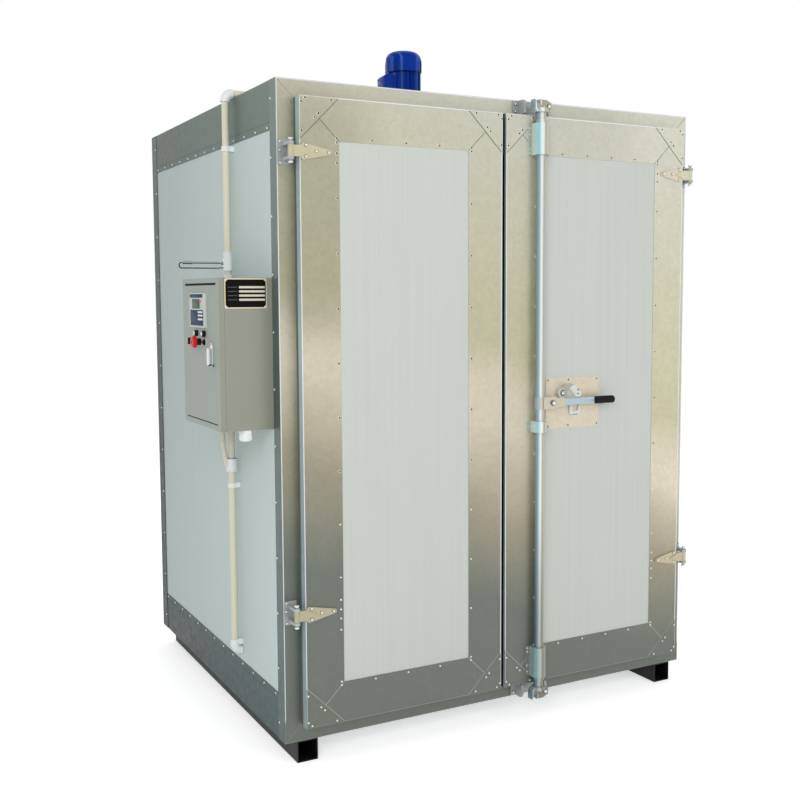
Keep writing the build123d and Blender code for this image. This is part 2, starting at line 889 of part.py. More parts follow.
def conduit_fittings():
    """Elbows, couplings, wye and threaded entries."""
    up, down = Vector(0, 0, 1), Vector(0, 0, -1)
    left, right = Vector(-1, 0, 0), Vector(1, 0, 0)
    front, back = Vector(0, -1, 0), Vector(0, 1, 0)
    pieces = [
        elbow(Vector(pipe_x, pipe_y, roof_pipe_z), down, right),
        elbow(Vector(terminal_x, pipe_y, roof_pipe_z), left, back),
        elbow(Vector(terminal_x, terminal_y, roof_pipe_z), front, up),
        elbow(Vector(pipe_x, pipe_y, wall_entry_z), up, right),
        rod_along_z(coupling_z, coupling_z + coupling_length, pipe_x, pipe_y, fitting_radius),
        rod_along_z(wye_z, wye_z + wye_height, pipe_x, pipe_y, wye_radius),
        rod_along_z(cabinet_high, cabinet_high + entry_height, pipe_x, pipe_y, fitting_radius),
        rod_along_z(cabinet_low - entry_height, cabinet_low, pipe_x, pipe_y, fitting_radius),
        rod_along_z(terminal_z - entry_height, terminal_z, terminal_x, terminal_y, fitting_radius),
    ]
    return pieces


def branch_pipe():
    """Thin conduit from the cabinet's underside into the wye."""
    side_x = pipe_x - branch_off
    end_x, end_z = pipe_x - wye_radius + branch_seat, wye_z + wye_height / 3
    points = [(side_x, pipe_y, cabinet_low), (side_x, pipe_y, end_z + branch_slope), (end_x, pipe_y, end_z)]
    path = FilletPolyline(*points, radius=branch_bend)
    pipe = sweep(Plane(origin=points[0], z_dir=(0, 0, -1)) * Circle(branch_radius), path)
    return pipe - rod_along_z(wye_z, wye_z + wye_height, pipe_x, pipe_y, wye_radius)


def pipe_clip(z):
    """Saddle that stands the conduit off the wall."""
    seat = panel_face if trim_height < z < body_height - trim_height else trim_face
    low, high = z - clip_width / 2, z + clip_width / 2
    ring = pipe_radius + clip_clear
    clip = rod_along_z(low, high, pipe_x, pipe_y, ring + clip_wall)
    clip += block(pipe_x, -seat, pipe_y - ring, pipe_y + ring, low, high)
    return clip - rod_along_z(low, high, pipe_x, pipe_y, ring)


def conduit_clips():
    return [pipe_clip(z) for z in clip_zs]


def cable_gland():
    """Blanked gland under the cabinet."""
    x = cabinet_face + gland_x
    y = cabinet_start + gland_y
    nut = slab_z(Pos(x, y) * RegularPolygon(gland_radius, 6), cabinet_low - gland_nut, cabinet_low)
    cap = rod_along_z(cabinet_low - gland_height, cabinet_low, x, y, gland_cap_radius)
    return nut + fillet(cap.faces().sort_by(Axis.Z)[0].edges(), gland_round)


def temperature_probe():
    """Probe that stands out of the left wall, with a flange, a rod and a boot."""
    wall = -panel_face
    tip = wall - probe_reach
    probe = rod_along_x(tip, wall, probe_y, probe_z, probe_radius)
    probe += rod_along_x(wall - probe_flange, wall, probe_y, probe_z, probe_flange_radius)
    probe += rod_along_x(wall - probe_hub, wall, probe_y, probe_z, probe_hub_radius)
    return probe + rod_along_x(tip, tip + probe_boot, probe_y, probe_z, probe_boot_radius)


def probe_lead():
    """Thin lead from the boot back along the rod into the conduit's coupling."""
    tip = -panel_face - probe_reach
    far = tip - lead_bend
    low = probe_z - lead_drop
    points = [
        (tip, probe_y, probe_z), (far, probe_y, probe_z), (far, probe_y, low),
        (pipe_x, probe_y, low), (pipe_x, pipe_y + fitting_radius, low),
    ]
    path = FilletPolyline(*points, radius=lead_arc)
    return sweep(Plane(origin=points[0], z_dir=(-1, 0, 0)) * Circle(lead_radius), path)


# Fan motor
def motor_stool():
    """Welded stool between the roof and the motor's flange."""
    low = body_height
    high = low + motor_stool_height
    half = motor_stool_width / 2
    stool = block(-half, half, motor_y - half, motor_y + half, low, low + motor_plate)
    stool += rod_along_z(low, high, 0, motor_y, motor_neck_radius)
    return stool + rod_along_z(high - motor_plate, high, 0, motor_y, motor_flange_radius)


def motor_body():
    """Flange, round core, upright cooling fins and the pad that carries the terminal box."""
    low = body_height + motor_stool_height
    high = low + motor_flange + motor_body_height
    core = rod_along_z(low, high, 0, motor_y, motor_core_radius)
    core += rod_along_z(low, low + motor_flange, 0, motor_y, motor_flange_radius)
    pad = Pos(terminal_pad / 2, 0) * Rectangle(terminal_pad, terminal_pad_width)
    core += slab_z(about_motor(terminal_turn) * pad, low + motor_flange, terminal_z + terminal_height)
    reach = motor_fin_radius - motor_core_radius + fin_root
    fin = Pos(motor_fin_radius - reach / 2, 0) * Rectangle(reach, motor_fin)
    fins = [about_motor(turn) * fin for turn in fin_turns()]
    return core + slab_z(Sketch() + fins, low + motor_flange, high)


def about_motor(turn):
    """Turns a drawing about the motor's axis."""
    return Pos(0, motor_y) * Rot(0, 0, turn)


def fin_turns():
    """Fins all round the core, apart from those behind the terminal box."""
    clear = degrees(asin((terminal_width / 2 + motor_fin) / motor_fin_radius))
    turns = [turn * 360 / motor_fin_count for turn in range(motor_fin_count)]
    return [turn for turn in turns if abs(turn - terminal_turn) > clear]


def fan_cover():
    """Domed cover over the motor's own fan, with pressed channels and slots in its top."""
    low = body_height + motor_stool_height + motor_flange + motor_body_height
    top = low + fan_cover_height
    cover = cover_dome(low, fan_cover_radius)
    beads = cover_dome(low, fan_cover_radius + channel_proud)
    inner = channel_width - 2 * channel_bead
    arch = cover_arch(low, channel_width) - cover_arch(low, inner)
    for turn in range(cover_channels):
        cover += beads & (about_motor(channel_turn + turn * 360 / cover_channels) * arch)
    vent = block(vent_start, vent_end, -vent_width / 2, vent_width / 2, top - vent_depth, top)
    for turn in range(vent_count):
        cover -= about_motor(turn * 360 / vent_count) * vent
    return cover


def cover_dome(low, radius):
    dome = rod_along_z(low, low + fan_cover_height, 0, motor_y, radius)
    return fillet(dome.faces().sort_by(Axis.Z)[-1].edges(), fan_cover_round)


def cover_arch(low, width):
    """Upright arch with a round top, drawn on the X side of the motor's axis."""
    face = Pos(0, low + channel_height / 2) * Rectangle(width, channel_height)
    face += Pos(0, low + channel_height) * Circle(width / 2)
    return slab_x(face, motor_core_radius, fan_cover_radius + channel_proud)


def terminal_box():
    """Box on the motor's pad, with its lid outwards."""
    half = terminal_width / 2
    lid = terminal_pad + terminal_depth
    box = block(terminal_pad, lid, -half, half, terminal_z, terminal_z + terminal_height)
    box = chamfer(box.faces().sort_by(Axis.X)[-1].edges(), terminal_chamfer)
    return about_motor(terminal_turn) * box


nodes = {
    "left_skid": skid(),
    "right_skid": across(skid()),
    "floor_panel": deck(0),
    "roof_panel": deck(body_height - wall_thickness),
    "left_wall_panel": wall_core(sheet, body_height - sheet),
    "right_wall_panel": across(wall_core(sheet, body_height - sheet)),
    "back_wall_panel": back_core(sheet, body_height - sheet),
    "side_bottom_channels": side_channels(0, trim_height),
    "side_top_channels": side_channels(body_height, body_height - trim_height),
    "back_channels": back_channels(),
    "rear_left_strip": rear_corner(),
    "rear_right_strip": across(rear_corner()),
    "front_left_post": front_post(),
    "front_right_post": across(front_post()),
    "front_sill": front_bar(0, wall_thickness),
    "front_header": front_bar(body_height, body_height - wall_thickness),
    "hinge_brackets": four_corners(hinge_bracket),
    "lock_keepers": lock_keepers(),
    "cabinet_box": cabinet_box(),
    "cabinet_hinges": cabinet_hinges(),
    "rating_plate": rating_plate(),
    "cable_gland": cable_gland(),
    "wall_conduit": wall_pipes(),
    "roof_conduit": roof_pipes(),
    "branch_conduit": branch_pipe(),
    "conduit_fittings": conduit_fittings(),
    "conduit_clips": conduit_clips(),
    "temperature_probe": temperature_probe(),
    "probe_lead": probe_lead(),
    "motor_stool": motor_stool(),
    "motor_body": motor_body(),
    "motor_fan_cover": fan_cover(),
    "motor_terminal_box": terminal_box(),
    "left_door_frame": door_frame(*left_door_edges),
    "left_door_panel": door_panel(*left_door_edges),
    "left_door_gussets": door_gussets(*left_door_edges),
    "left_door_plug": door_plug(*left_door_edges),
    "left_door_gasket": door_gasket(*left_door_edges),
    "left_door_straps": both_heights(hinge_strap),
    "right_door_frame": door_frame(*right_door_edges),
    "right_door_panel": door_panel(*right_door_edges),
    "right_door_gussets": door_gussets(*right_door_edges),
    "right_door_plug": door_plug(*right_door_edges),
    "right_door_gasket": door_gasket(*right_door_edges),
    "right_door_straps": [across(strap) for strap in both_heights(hinge_strap)],
    "rod_guides": rod_guides(),
    "handle_plate": handle_plate(),
    "handle_catch": handle_catch(),
    "lock_rod": lock_rod(),
    "handle_hub": handle_hub(),
    "handle_bar": handle_bar(),
    "handle_grip": handle_grip(),
    "cabinet_door": cabinet_door(),
    "temperature_controller": controller(),
    "pilot_lamps": pilot_lamps(),
    "push_button": push_button(),
    "cabinet_latch": cabinet_latch(),
    "selector_switch": selector_switch(),
    "emergency_stop": emergency_stop(),
}


def solids_of(pieces):
    """The solids of one node, given as a shape or a list of shapes."""
    if isinstance(pieces, list):
        return [piece.solid() for piece in pieces]
    return [pieces.solid()]


solids = {name: solids_of(pieces) for name, pieces in nodes.items()}
whole = Compound([solid for group in solids.values() for solid in group]).bounding_box()
origin = Vector(whole.center().X, whole.center().Y, whole.min.Z)
to_row = Location(-origin)

os.makedirs("parts", exist_ok=True)
for name, group in solids.items():
    moved = [solid.moved(to_row) for solid in group]
    export_step(Compound(moved) if len(moved) > 1 else moved[0], f"parts/{name}.step")
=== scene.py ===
"""Looks of a powder coating oven: finishes, rivets, bolts, seams, switches and a fan cowl."""

import math

import bmesh
import bpy
from bpy.props import FloatProperty, FloatVectorProperty, PointerProperty
from mathutils import Color, Matrix, Vector


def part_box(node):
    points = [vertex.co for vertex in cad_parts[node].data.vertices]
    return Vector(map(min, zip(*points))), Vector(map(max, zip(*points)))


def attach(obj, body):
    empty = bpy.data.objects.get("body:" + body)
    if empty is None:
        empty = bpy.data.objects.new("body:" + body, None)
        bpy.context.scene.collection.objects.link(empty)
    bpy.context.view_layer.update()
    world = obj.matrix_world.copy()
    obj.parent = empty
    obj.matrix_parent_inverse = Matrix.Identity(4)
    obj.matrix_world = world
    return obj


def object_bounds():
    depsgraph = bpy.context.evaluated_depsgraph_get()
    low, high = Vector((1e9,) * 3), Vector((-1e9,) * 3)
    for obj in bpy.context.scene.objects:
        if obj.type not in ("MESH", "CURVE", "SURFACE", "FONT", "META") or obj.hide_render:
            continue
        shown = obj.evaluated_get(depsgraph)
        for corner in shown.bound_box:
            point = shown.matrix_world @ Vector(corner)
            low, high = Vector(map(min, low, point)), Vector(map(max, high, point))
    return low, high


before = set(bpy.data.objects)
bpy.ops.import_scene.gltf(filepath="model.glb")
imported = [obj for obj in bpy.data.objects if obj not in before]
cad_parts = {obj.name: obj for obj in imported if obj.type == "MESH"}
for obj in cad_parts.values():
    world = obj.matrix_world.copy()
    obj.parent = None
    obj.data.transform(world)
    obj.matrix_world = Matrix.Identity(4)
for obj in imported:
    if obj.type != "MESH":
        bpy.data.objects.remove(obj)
cad_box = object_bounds()

bl_info = {
    "name": "Powder Coating Oven",
    "version": (1, 0, 0),
    "blender": (4, 5, 0),
    "location": "View3D > Sidebar > Oven",
    "description": "Finishes and small parts of a powder coating oven",
    "category": "Object",
}

# Directions
front, rear = Vector((0, -1, 0)), Vector((0, 1, 0))
left, right = Vector((-1, 0, 0)), Vector((1, 0, 0))
up, down = Vector((0, 0, 1)), Vector((0, 0, -1))

# Places taken from the frame
post_low, post_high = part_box("front_left_post")
far_post_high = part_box("front_right_post")[1]
strip_low, strip_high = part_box("rear_left_strip")
trim_low, trim_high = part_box("side_bottom_channels")
top_trim_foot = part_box("side_top_channels")[0].z
body_left, body_right = post_low.x, far_post_high.x
body_front, body_back = post_low.y, strip_high.y
body_foot, body_top = post_low.z, post_high.z
middle_x = (body_left + body_right) / 2
sides = ("left", "right")
doors = {side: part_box(side + "_door_frame") for side in sides}
door_face = doors["left"][0].y
mm = 0.001


def seen(colour):
    """A colour as it is seen, made ready for a shader socket."""
    return (*Color(colour).from_srgb_to_scene_linear(), 1.0)


def tint(name, description, *channels):
    """A colour setting, its default given in steps of 1 / 255."""
    default = [channel / 255 for channel in channels]
    return FloatVectorProperty(
        name=name, description=description, subtype="COLOR_GAMMA", size=3, min=0, max=1, default=default
    )


def length(name, description, default):
    return FloatProperty(name=name, description=description, default=default, subtype="DISTANCE", unit="LENGTH")


class OvenColours(bpy.types.PropertyGroup):
    """Colours of the oven's finishes"""

    # The sheet tones from zinc_top to zinc_dark are painted reflection: the galvanised sheet is drawn lighter or darker
    # with height up the front.
    zinc_top: tint("Sheet, top", "Galvanised sheet at the top of the doors", 200, 199, 184)
    zinc_upper: tint("Sheet, upper", "Galvanised sheet above the lock", 196, 193, 168)
    zinc_middle: tint("Sheet, middle", "Galvanised sheet over the lock", 190, 186, 155)
    zinc_warm: tint("Sheet, warm", "Galvanised sheet at the height of the lock", 206, 198, 176)
    zinc_olive: tint("Sheet, olive", "Galvanised sheet below the lock", 158, 151, 130)
    zinc_dark: tint("Sheet, dark", "Galvanised sheet near the floor", 110, 116, 108)
    # slate_light and slate_dark are painted shade and reflection: the same galvanised sheet, drawn darker on the sides.
    slate_light: tint("Side sheet, light", "Galvanised sheet on the sides", 104, 117, 110)
    slate_dark: tint("Side sheet, dark", "Galvanised sheet on the sides near the floor", 60, 76, 79)
    # edge is a painted reflection: a pale blue tone on the narrow sides of the doors.
    edge: tint("Door side", "Narrow side faces of the doors", 188, 208, 214)
    # hem is a painted highlight along the folded edges and on zinc faces that point up.
    hem: tint("Hem", "Folded edges that catch the light", 232, 238, 242)
    panel_front: tint("Door panel", "Coated sheet on the doors", 204, 205, 197)
    panel_side: tint("Wall panel", "Coated sheet on the walls", 200, 211, 208)
    plating: tint("Zinc plate", "Lock cams, keepers and hinges", 204, 202, 186)
    # A painted reflection: the cool tone on the sides of flat zinc parts and on the right of round ones.
    plating_reflection: tint("Zinc plate, blue", "Blue cast in the zinc plate", 170, 184, 192)
    # rod_left, rod_front and rod_right are painted reflection in bands round the lock rod.
    rod_left: tint("Rod, left", "Lock rod where it faces left", 150, 176, 186)
    rod_front: tint("Rod, front", "Lock rod where it faces the front", 232, 240, 238)
    rod_right: tint("Rod, right", "Lock rod where it faces right", 168, 164, 146)
    backing: tint("Handle plate", "Sheet behind the handle", 216, 206, 184)
    # The two cabinet tones are one powder coat, lit and in painted shade: the box, and faces to the front or back, take
    # the darker one.
    cabinet_door: tint("Cabinet door", "Powder coat on the cabinet's door", 163, 172, 164)
    cabinet_shade_tone: tint("Cabinet box", "Powder coat on the cabinet's box", 146, 148, 135)
    conduit: tint("Conduit", "Plastic conduit", 228, 223, 203)
    fitting: tint("Fittings", "Plastic fittings", 240, 245, 244)
    motor: tint("Motor", "Motor paint", 2, 50, 150)
    stop: tint("Stop button", "Mushroom head", 214, 24, 26)
    fascia: tint("Controller", "Dark fields on the controller", 52, 72, 98)
    screen: tint("Screen", "Controller's screen", 92, 112, 100)
    brass: tint("Plate border", "Border of the rating plate", 226, 212, 176)
    strip: tint("Plate strips", "Blank strips on the rating plate", 214, 208, 190)


class OvenSizes(bpy.types.PropertyGroup):
    """Sizes of the oven's small parts"""

    rivet_radius: length("Rivet", "Radius of a rivet's head", 0.0050)
    rail_pitch: length("Rail pitch", "Spacing of rivets up a door's upright rails", 0.18)
    bar_pitch: length("Bar pitch", "Spacing of rivets along a door's top and bottom rails", 0.123)
    trim_pitch: length("Trim pitch", "Spacing of rivets along the wall trims", 0.115)
    corner_pitch: length("Corner pitch", "Spacing of rivets up the corners of the body", 0.189)
    bolt_radius: length("Bolt", "Radius of a hinge bolt's head", 0.0054)
    hem_radius: length("Hem", "Radius of the folded edge of a door", 0.0026)
    seam_width: length("Seam", "Width of the dark line between two sheets", 0.0016)


def settings():
    return bpy.context.scene.oven_sizes


def colours():
    return bpy.context.scene.oven_colours


# Materials
class Value:
    """A number or colour inside a material that sums can be written on."""

    def __init__(self, finish, socket):
        self.finish = finish
        self.socket = socket

    def maths(self, operation, *terms):
        return self.finish.node("ShaderNodeMath", {"operation": operation}, dict(enumerate(terms)))

    def __add__(self, other):
        return self.maths("ADD", self, other)

    def __sub__(self, other):
        return self.maths("SUBTRACT", self, other)

    def __rsub__(self, other):
        return self.maths("SUBTRACT", other, self)

    def __mul__(self, other):
        return self.maths("MULTIPLY", self, other)

    def __truediv__(self, other):
        return self.maths("DIVIDE", self, other)

    def __lt__(self, other):
        return self.maths("LESS_THAN", self, other)

    def __gt__(self, other):
        return self.maths("GREATER_THAN", self, other)

    def __abs__(self):
        return self.maths("ABSOLUTE", self)

    __radd__ = __add__
    __rmul__ = __mul__

    def sine(self):
        return self.maths("SINE", self)

    def between(self, low, high):
        """0 up to low, 1 from high, and a smooth rise between them."""
        ends = {0: self, 1: low, 2: high, 3: 0.0, 4: 1.0}
        return self.finish.node("ShaderNodeMapRange", {"interpolation_type": "SMOOTHSTEP"}, ends)


class Nodes:
    """A shader tree, emptied and then made node by node."""

    def __init__(self, tree):
        self.tree = tree
        tree.nodes.clear()

    def node(self, kind, options, sockets, out=0):
        """A node with its options set, its sockets fed with values or links, and one output handed back."""
        made = self.tree.nodes.new(kind)
        for name, value in options.items():
            if name == "stops":
                self.set_stops(made.color_ramp.elements, value)
            else:
                setattr(made, name, value)
        for key, value in sockets.items():
            if isinstance(value, Value):
                self.tree.links.new(value.socket, made.inputs[key])
            else:
                made.inputs[key].default_value = value
        return Value(self, made.outputs[out]) if made.outputs else None

    def set_stops(self, elements, stops):
        while len(elements) < len(stops):
            elements.new(0.5)
        for element, (position, colour) in zip(elements, stops):
            element.position = position
            element.color = colour

    def background_rays(self):
        """1 for camera, mirror and glass rays, which see a white background."""
        camera, mirror, glass = (
            self.node("ShaderNodeLightPath", {}, {}, f"Is {kind} Ray") for kind in ("Camera", "Glossy", "Transmission")
        )
        return camera.maths("MAXIMUM", camera, mirror.maths("MAXIMUM", mirror, glass))


class Finish(Nodes):
    """A procedural material."""

    def __init__(self, name):
        self.material = bpy.data.materials.new(name)
        self.material.use_nodes = True
        super().__init__(self.material.node_tree)
        self.place = self.node("ShaderNodeTexCoord", {}, {}, "Object")

    def axes(self):
        return [self.node("ShaderNodeSeparateXYZ", {}, {0: self.place}, axis) for axis in "XYZ"]

    def faces(self, axis):
        """How far the surface faces along an axis, from -1 to 1."""
        normal = self.node("ShaderNodeTexCoord", {}, {}, "Normal")
        return self.node("ShaderNodeSeparateXYZ", {}, {0: normal}, axis)

    def stretched(self, scale):
        """The piece's own coordinates, scaled along each axis."""
        return self.node("ShaderNodeMapping", {}, {"Vector": self.place, "Scale": scale})

    def noise(self, size, detail=3.0, rough=0.55, stretch=(1, 1, 1)):
        """Cloudy noise from 0 to 1 whose features are about that many metres across."""
        where = self.stretched([axis / size for axis in stretch])
        sockets = {"Vector": where, "Scale": 1.0, "Detail": detail, "Roughness": rough}
        return self.node("ShaderNodeTexNoise", {}, sockets)

    def crystals(self, size):
        """A random number from 0 to 1 for each cell of about that size."""
        where = self.stretched([1 / size] * 3)
        cell = self.node("ShaderNodeTexVoronoi", {}, {"Vector": where, "Scale": 1.0}, "Color")
        return self.node("ShaderNodeSeparateColor", {}, {0: cell})

    def mix(self, first, second, share):
        return self.node("ShaderNodeMix", {"data_type": "RGBA"}, {0: share, 6: first, 7: second}, 2)

    def scaled(self, colour, factor):
        """A colour made lighter or darker by a changing factor."""
        grey = self.node("ShaderNodeCombineColor", {}, {0: factor, 1: factor, 2: factor})
        options = {"data_type": "RGBA", "blend_type": "MULTIPLY", "clamp_result": True}
        return self.node("ShaderNodeMix", options, {0: 1.0, 6: colour, 7: grey}, 2)

    def ramp(self, value, stops):
        return self.node("ShaderNodeValToRGB", {"stops": stops}, {0: value})

    def bump(self, height, strength, distance=mm):
        return self.node("ShaderNodeBump", {}, {"Strength": strength, "Distance": distance, "Height": height})

    def surface(self, colour, roughness, metallic=0.0, normal=None, **more):
        """Finish the material with one surface shader."""
        sockets = {"Base Color": colour, "Roughness": roughness, "Metallic": metallic}
        sockets.update({name.replace("_", " ").title().replace("Ior", "IOR"): value for name, value in more.items()})
        if normal is not None:
            sockets["Normal"] = normal
        shader = self.node("ShaderNodeBsdfPrincipled", {}, sockets)
        self.node("ShaderNodeOutputMaterial", {}, {0: shader})
        return self.material


# Galvanised sheet
sheet_metal = 0.45
crystal_size, fleck_size = 16 * mm, 5 * mm
# front_slope tilts the painted reflection tones from left to right.
front_slope = 0.15


def spangle(finish, colour, gloss=0.5):
    """Zinc crystals over a sheet's colour, with its roughness and grain."""
    large, small = finish.crystals(crystal_size), finish.crystals(fleck_size)
    cloud = finish.noise(0.30)
    rubbed = finish.noise(40 * mm, 4.0, 0.6, (1, 1, 0.35))
    bright = 0.90 + large * 0.08 + small * 0.05 + (cloud - 0.5) * 0.12 + (rubbed - 0.5) * 0.06
    rough = 0.34 + large * 0.10 + small * 0.06
    grain = finish.bump(large * 0.6 + finish.noise(3 * mm) * 0.4, 0.12, 0.3 * mm)
    return finish.surface(finish.scaled(colour, bright), rough, sheet_metal, grain, specular_ior_level=gloss)


def climb(finish, slope=0.0):
    """Height up the body from 0 to 1, with a slow waver and a slope from left to right."""
    x, _, z = finish.axes()
    waver = finish.noise(0.5, 2.0) - 0.5
    return (z - body_foot) / (body_top - body_foot) + waver * 0.12 + (x - middle_x + 0.1) * slope


def depth(finish):
    """How far back on the body, from 0 at its front to 1."""
    return (finish.axes()[1] - body_front) / (body_back - body_front)


def front_tones(finish):
    """Painted reflection on the front sheets: dark at the foot, light at the top, painted shade far left above the
    lock, painted light far right.
    """
    c = colours()
    height = climb(finish, front_slope)
    stops = [
        (0.08, seen(c.zinc_dark)), (0.19, seen(c.zinc_dark)), (0.34, seen(c.zinc_olive)),
        (0.48, seen(c.zinc_warm)), (0.53, seen(c.zinc_warm)), (0.60, seen(c.zinc_middle)),
        (0.80, seen(c.zinc_upper)), (1.0, seen(c.zinc_top)),
    ]
    out_right = finish.axes()[0] - middle_x
    above_lock = height.between(0.50, 0.58) * (1 - height.between(0.80, 0.95))
    painted_shade_left = (out_right * -1.0).between(0.45, 0.70) * above_lock * 0.24
    # bright: a painted lighter patch on the far right, from about the lock's height up.
    bright = out_right.between(0.40, 0.70) * height.between(0.42, 0.50) * 0.17
    return finish.scaled(finish.ramp(height, stops), 1 - painted_shade_left + bright)


def side_tones(finish):
    """Painted shade and reflection on the side sheets: darker near the floor and towards the back."""
    c = colours()
    height = climb(finish)
    tone = finish.ramp(height, [(0.0, seen(c.slate_dark)), (1.0, seen(c.slate_light))])
    shade = depth(finish) * abs(finish.faces("X")) * (0.92 - height * 0.45)
    return finish.scaled(tone, 1.27 - shade)


def front_sheet():
    """Painted reflection tones on the faces to the front, a pale painted reflection on the narrow sides of a door, and
    painted shadow in the gap between the doors.
    """
    finish = Finish("galvanised_front")
    x, y, _ = finish.axes()
    sideways = abs(finish.faces("X")).between(0.6, 0.8)
    # Painted shadow: the narrow sides deep in the gap between the doors are drawn near black.
    painted_gap_shadow = (abs(x - middle_x) < 0.1) * (y - door_face).between(6 * mm, 12 * mm)
    edge = finish.mix(seen(colours().edge), seen((0.05, 0.06, 0.07)), painted_gap_shadow)
    return spangle(finish, finish.mix(front_tones(finish), edge, sideways))


def side_sheet():
    finish = Finish("galvanised_side")
    return spangle(finish, side_tones(finish), 0.15)


def post_sheet():
    """Front post: the painted reflection tones of the front on its face, and painted slate shade on its side."""
    finish = Finish("galvanised_post")
    sideways = abs(finish.faces("X")).between(0.6, 0.8)
    tone = finish.mix(front_tones(finish), side_tones(finish), sideways)
    return spangle(finish, tone)


def hem_sheet():
    """Folded edge in a painted highlight, with painted shade along the door's foot and the sill."""
    finish = Finish("hem_sheet")
    worn = finish.noise(25 * mm, 3.0)
    dark_below, bright_above = 64 * mm, 90 * mm
    # Painted shade below this band, painted highlight above it.
    lit = (finish.axes()[2] - body_foot).between(dark_below, bright_above)
    colour = finish.scaled(seen(colours().hem), (0.88 + worn * 0.2) * (0.28 + lit * 0.72))
    return finish.surface(colour, 0.3 + worn * 0.1, 0.2)


def coated_panel(name, colour, painted_shade_to_back=0.0):
    """White coated sheet with fine upright lines rolled into it, and painted shade that darkens it towards the back."""
    finish = Finish(name)
    x, y, _ = finish.axes()
    line_pitch = 18 * mm
    lines = ((x + y) * (2 * math.pi / line_pitch)).sine().between(0.75, 1.0)
    streaks = finish.noise(12 * mm, 2.0, 0.5, (1, 1, 0.012))
    blotch = finish.noise(0.5, 3.0)
    bright = 0.995 + (streaks - 0.5) * 0.13 + (blotch - 0.5) * 0.05 - lines * 0.018 + (0.4 - depth(finish)) * painted_shade_to_back
    cool = finish.mix(seen(colour), seen([colour[0] * 0.95, colour[1] * 0.985, colour[2]]), streaks)
    grain = finish.bump(lines * -1.0 + finish.noise(2.5 * mm) * 0.12, 0.25, 0.5 * mm)
    return finish.surface(finish.scaled(cool, bright), 0.42 + streaks * 0.1, 0.0, grain)


def zinc_plate():
    """Bright zinc on flat pieces, with painted reflection: the painted tones of the sheet behind, a cooler painted tone
    on its sides, and a painted highlight on faces that point up.
    """
    finish = Finish("zinc_plate")
    c = colours()
    scuffs = finish.noise(6 * mm, 4.0, 0.7)
    tone = finish.mix(front_tones(finish), seen(c.plating), 0.35)
    sideways = abs(finish.faces("X")).between(0.5, 0.8)
    tone = finish.mix(tone, seen(c.plating_reflection), sideways)
    tone = finish.mix(tone, seen(c.hem), finish.faces("Z").between(0.4, 0.8))
    grain = finish.bump(scuffs, 0.10, 0.3 * mm)
    return finish.surface(finish.scaled(tone, 0.94 + (scuffs - 0.5) * 0.2), 0.26 + scuffs * 0.16, 0.5, grain)


def guide_stops():
    """Painted reflection: bands of light and shade round a rod guide, from its left to its right."""
    bands = [
        (0.0, 214, 238, 238), (0.03, 190, 225, 228), (0.08, 160, 208, 216), (0.14, 160, 208, 216),
        (0.21, 210, 240, 242), (0.36, 244, 246, 232), (0.46, 176, 178, 158), (0.55, 178, 180, 160),
        (0.70, 214, 213, 206), (1.0, 130, 138, 134),
    ]
    return [(place, seen([channel / 255 for channel in tone])) for place, *tone in bands]


def round_zinc(name, stops=None):
    """Bright zinc on an upright round piece with painted reflection: cool on its left, warm on its right, a painted
    highlight on top, and painted shade near the floor.
    """
    c = colours()
    finish = Finish(name)
    scuffs = finish.noise(7 * mm, 4.0, 0.7, (1, 1, 0.4))
    turn = finish.faces("X") * 0.5 + 0.5
    stops = stops or [
        (0.0, seen(c.rod_left)), (0.08, seen(c.rod_left)), (0.25, seen(c.rod_front)), (0.36, seen(c.rod_front)),
        (0.50, seen(c.rod_right)), (0.72, seen(c.plating)), (1.0, seen(c.plating_reflection)),
    ]
    tone = finish.mix(finish.ramp(turn, stops), seen(c.hem), finish.faces("Z").between(0.5, 0.9))
    grain = finish.bump(scuffs, 0.08, 0.3 * mm)
    # Painted shade: duller near the floor.
    painted_floor_shade = 0.55 + climb(finish).between(0.10, 0.42) * 0.45
    return finish.surface(finish.scaled(tone, (0.94 + (scuffs - 0.5) * 0.16) * painted_floor_shade), 0.24 + scuffs * 0.12, 0.35, grain)


def pressed_metal(name, colour, metallic=0.6, rough=0.25, blotch=3 * mm):
    """Plain pressed metal with scuffs of about that size."""
    finish = Finish(name)
    scuffs = finish.noise(blotch, 3.0, 0.5)
    return finish.surface(finish.scaled(seen(colour), 0.9 + scuffs * 0.2), rough + scuffs * 0.15, metallic)


def gusset_edge():
    """Edge of a door's gusset: a painted shade line near the top, a painted highlight near the foot."""
    finish = Finish("gusset_edge")
    lit, painted_shade_line = seen((0.70, 0.71, 0.67)), seen((0.20, 0.20, 0.20))
    return finish.surface(finish.mix(lit, painted_shade_line, climb(finish).between(0.2, 0.4)), 0.5)


def warm_metal(name, colour):
    """Brass-coloured metal, a little rubbed."""
    finish = Finish(name)
    rub = finish.noise(8 * mm, 3.0)
    return finish.surface(finish.scaled(seen(colour), 0.9 + rub * 0.2), 0.3 + rub * 0.1, 0.6)


def strap_zinc():
    """Yellowed zinc on the hinge straps, half in the painted reflection tones of the sheet behind."""
    finish = Finish("strap_zinc")
    scuffs = finish.noise(5 * mm, 4.0, 0.7)
    tone = finish.mix(front_tones(finish), seen((0.83, 0.79, 0.65)), 0.55)
    return finish.surface(finish.scaled(tone, 0.9 + scuffs * 0.2), 0.3 + scuffs * 0.1, 0.4)


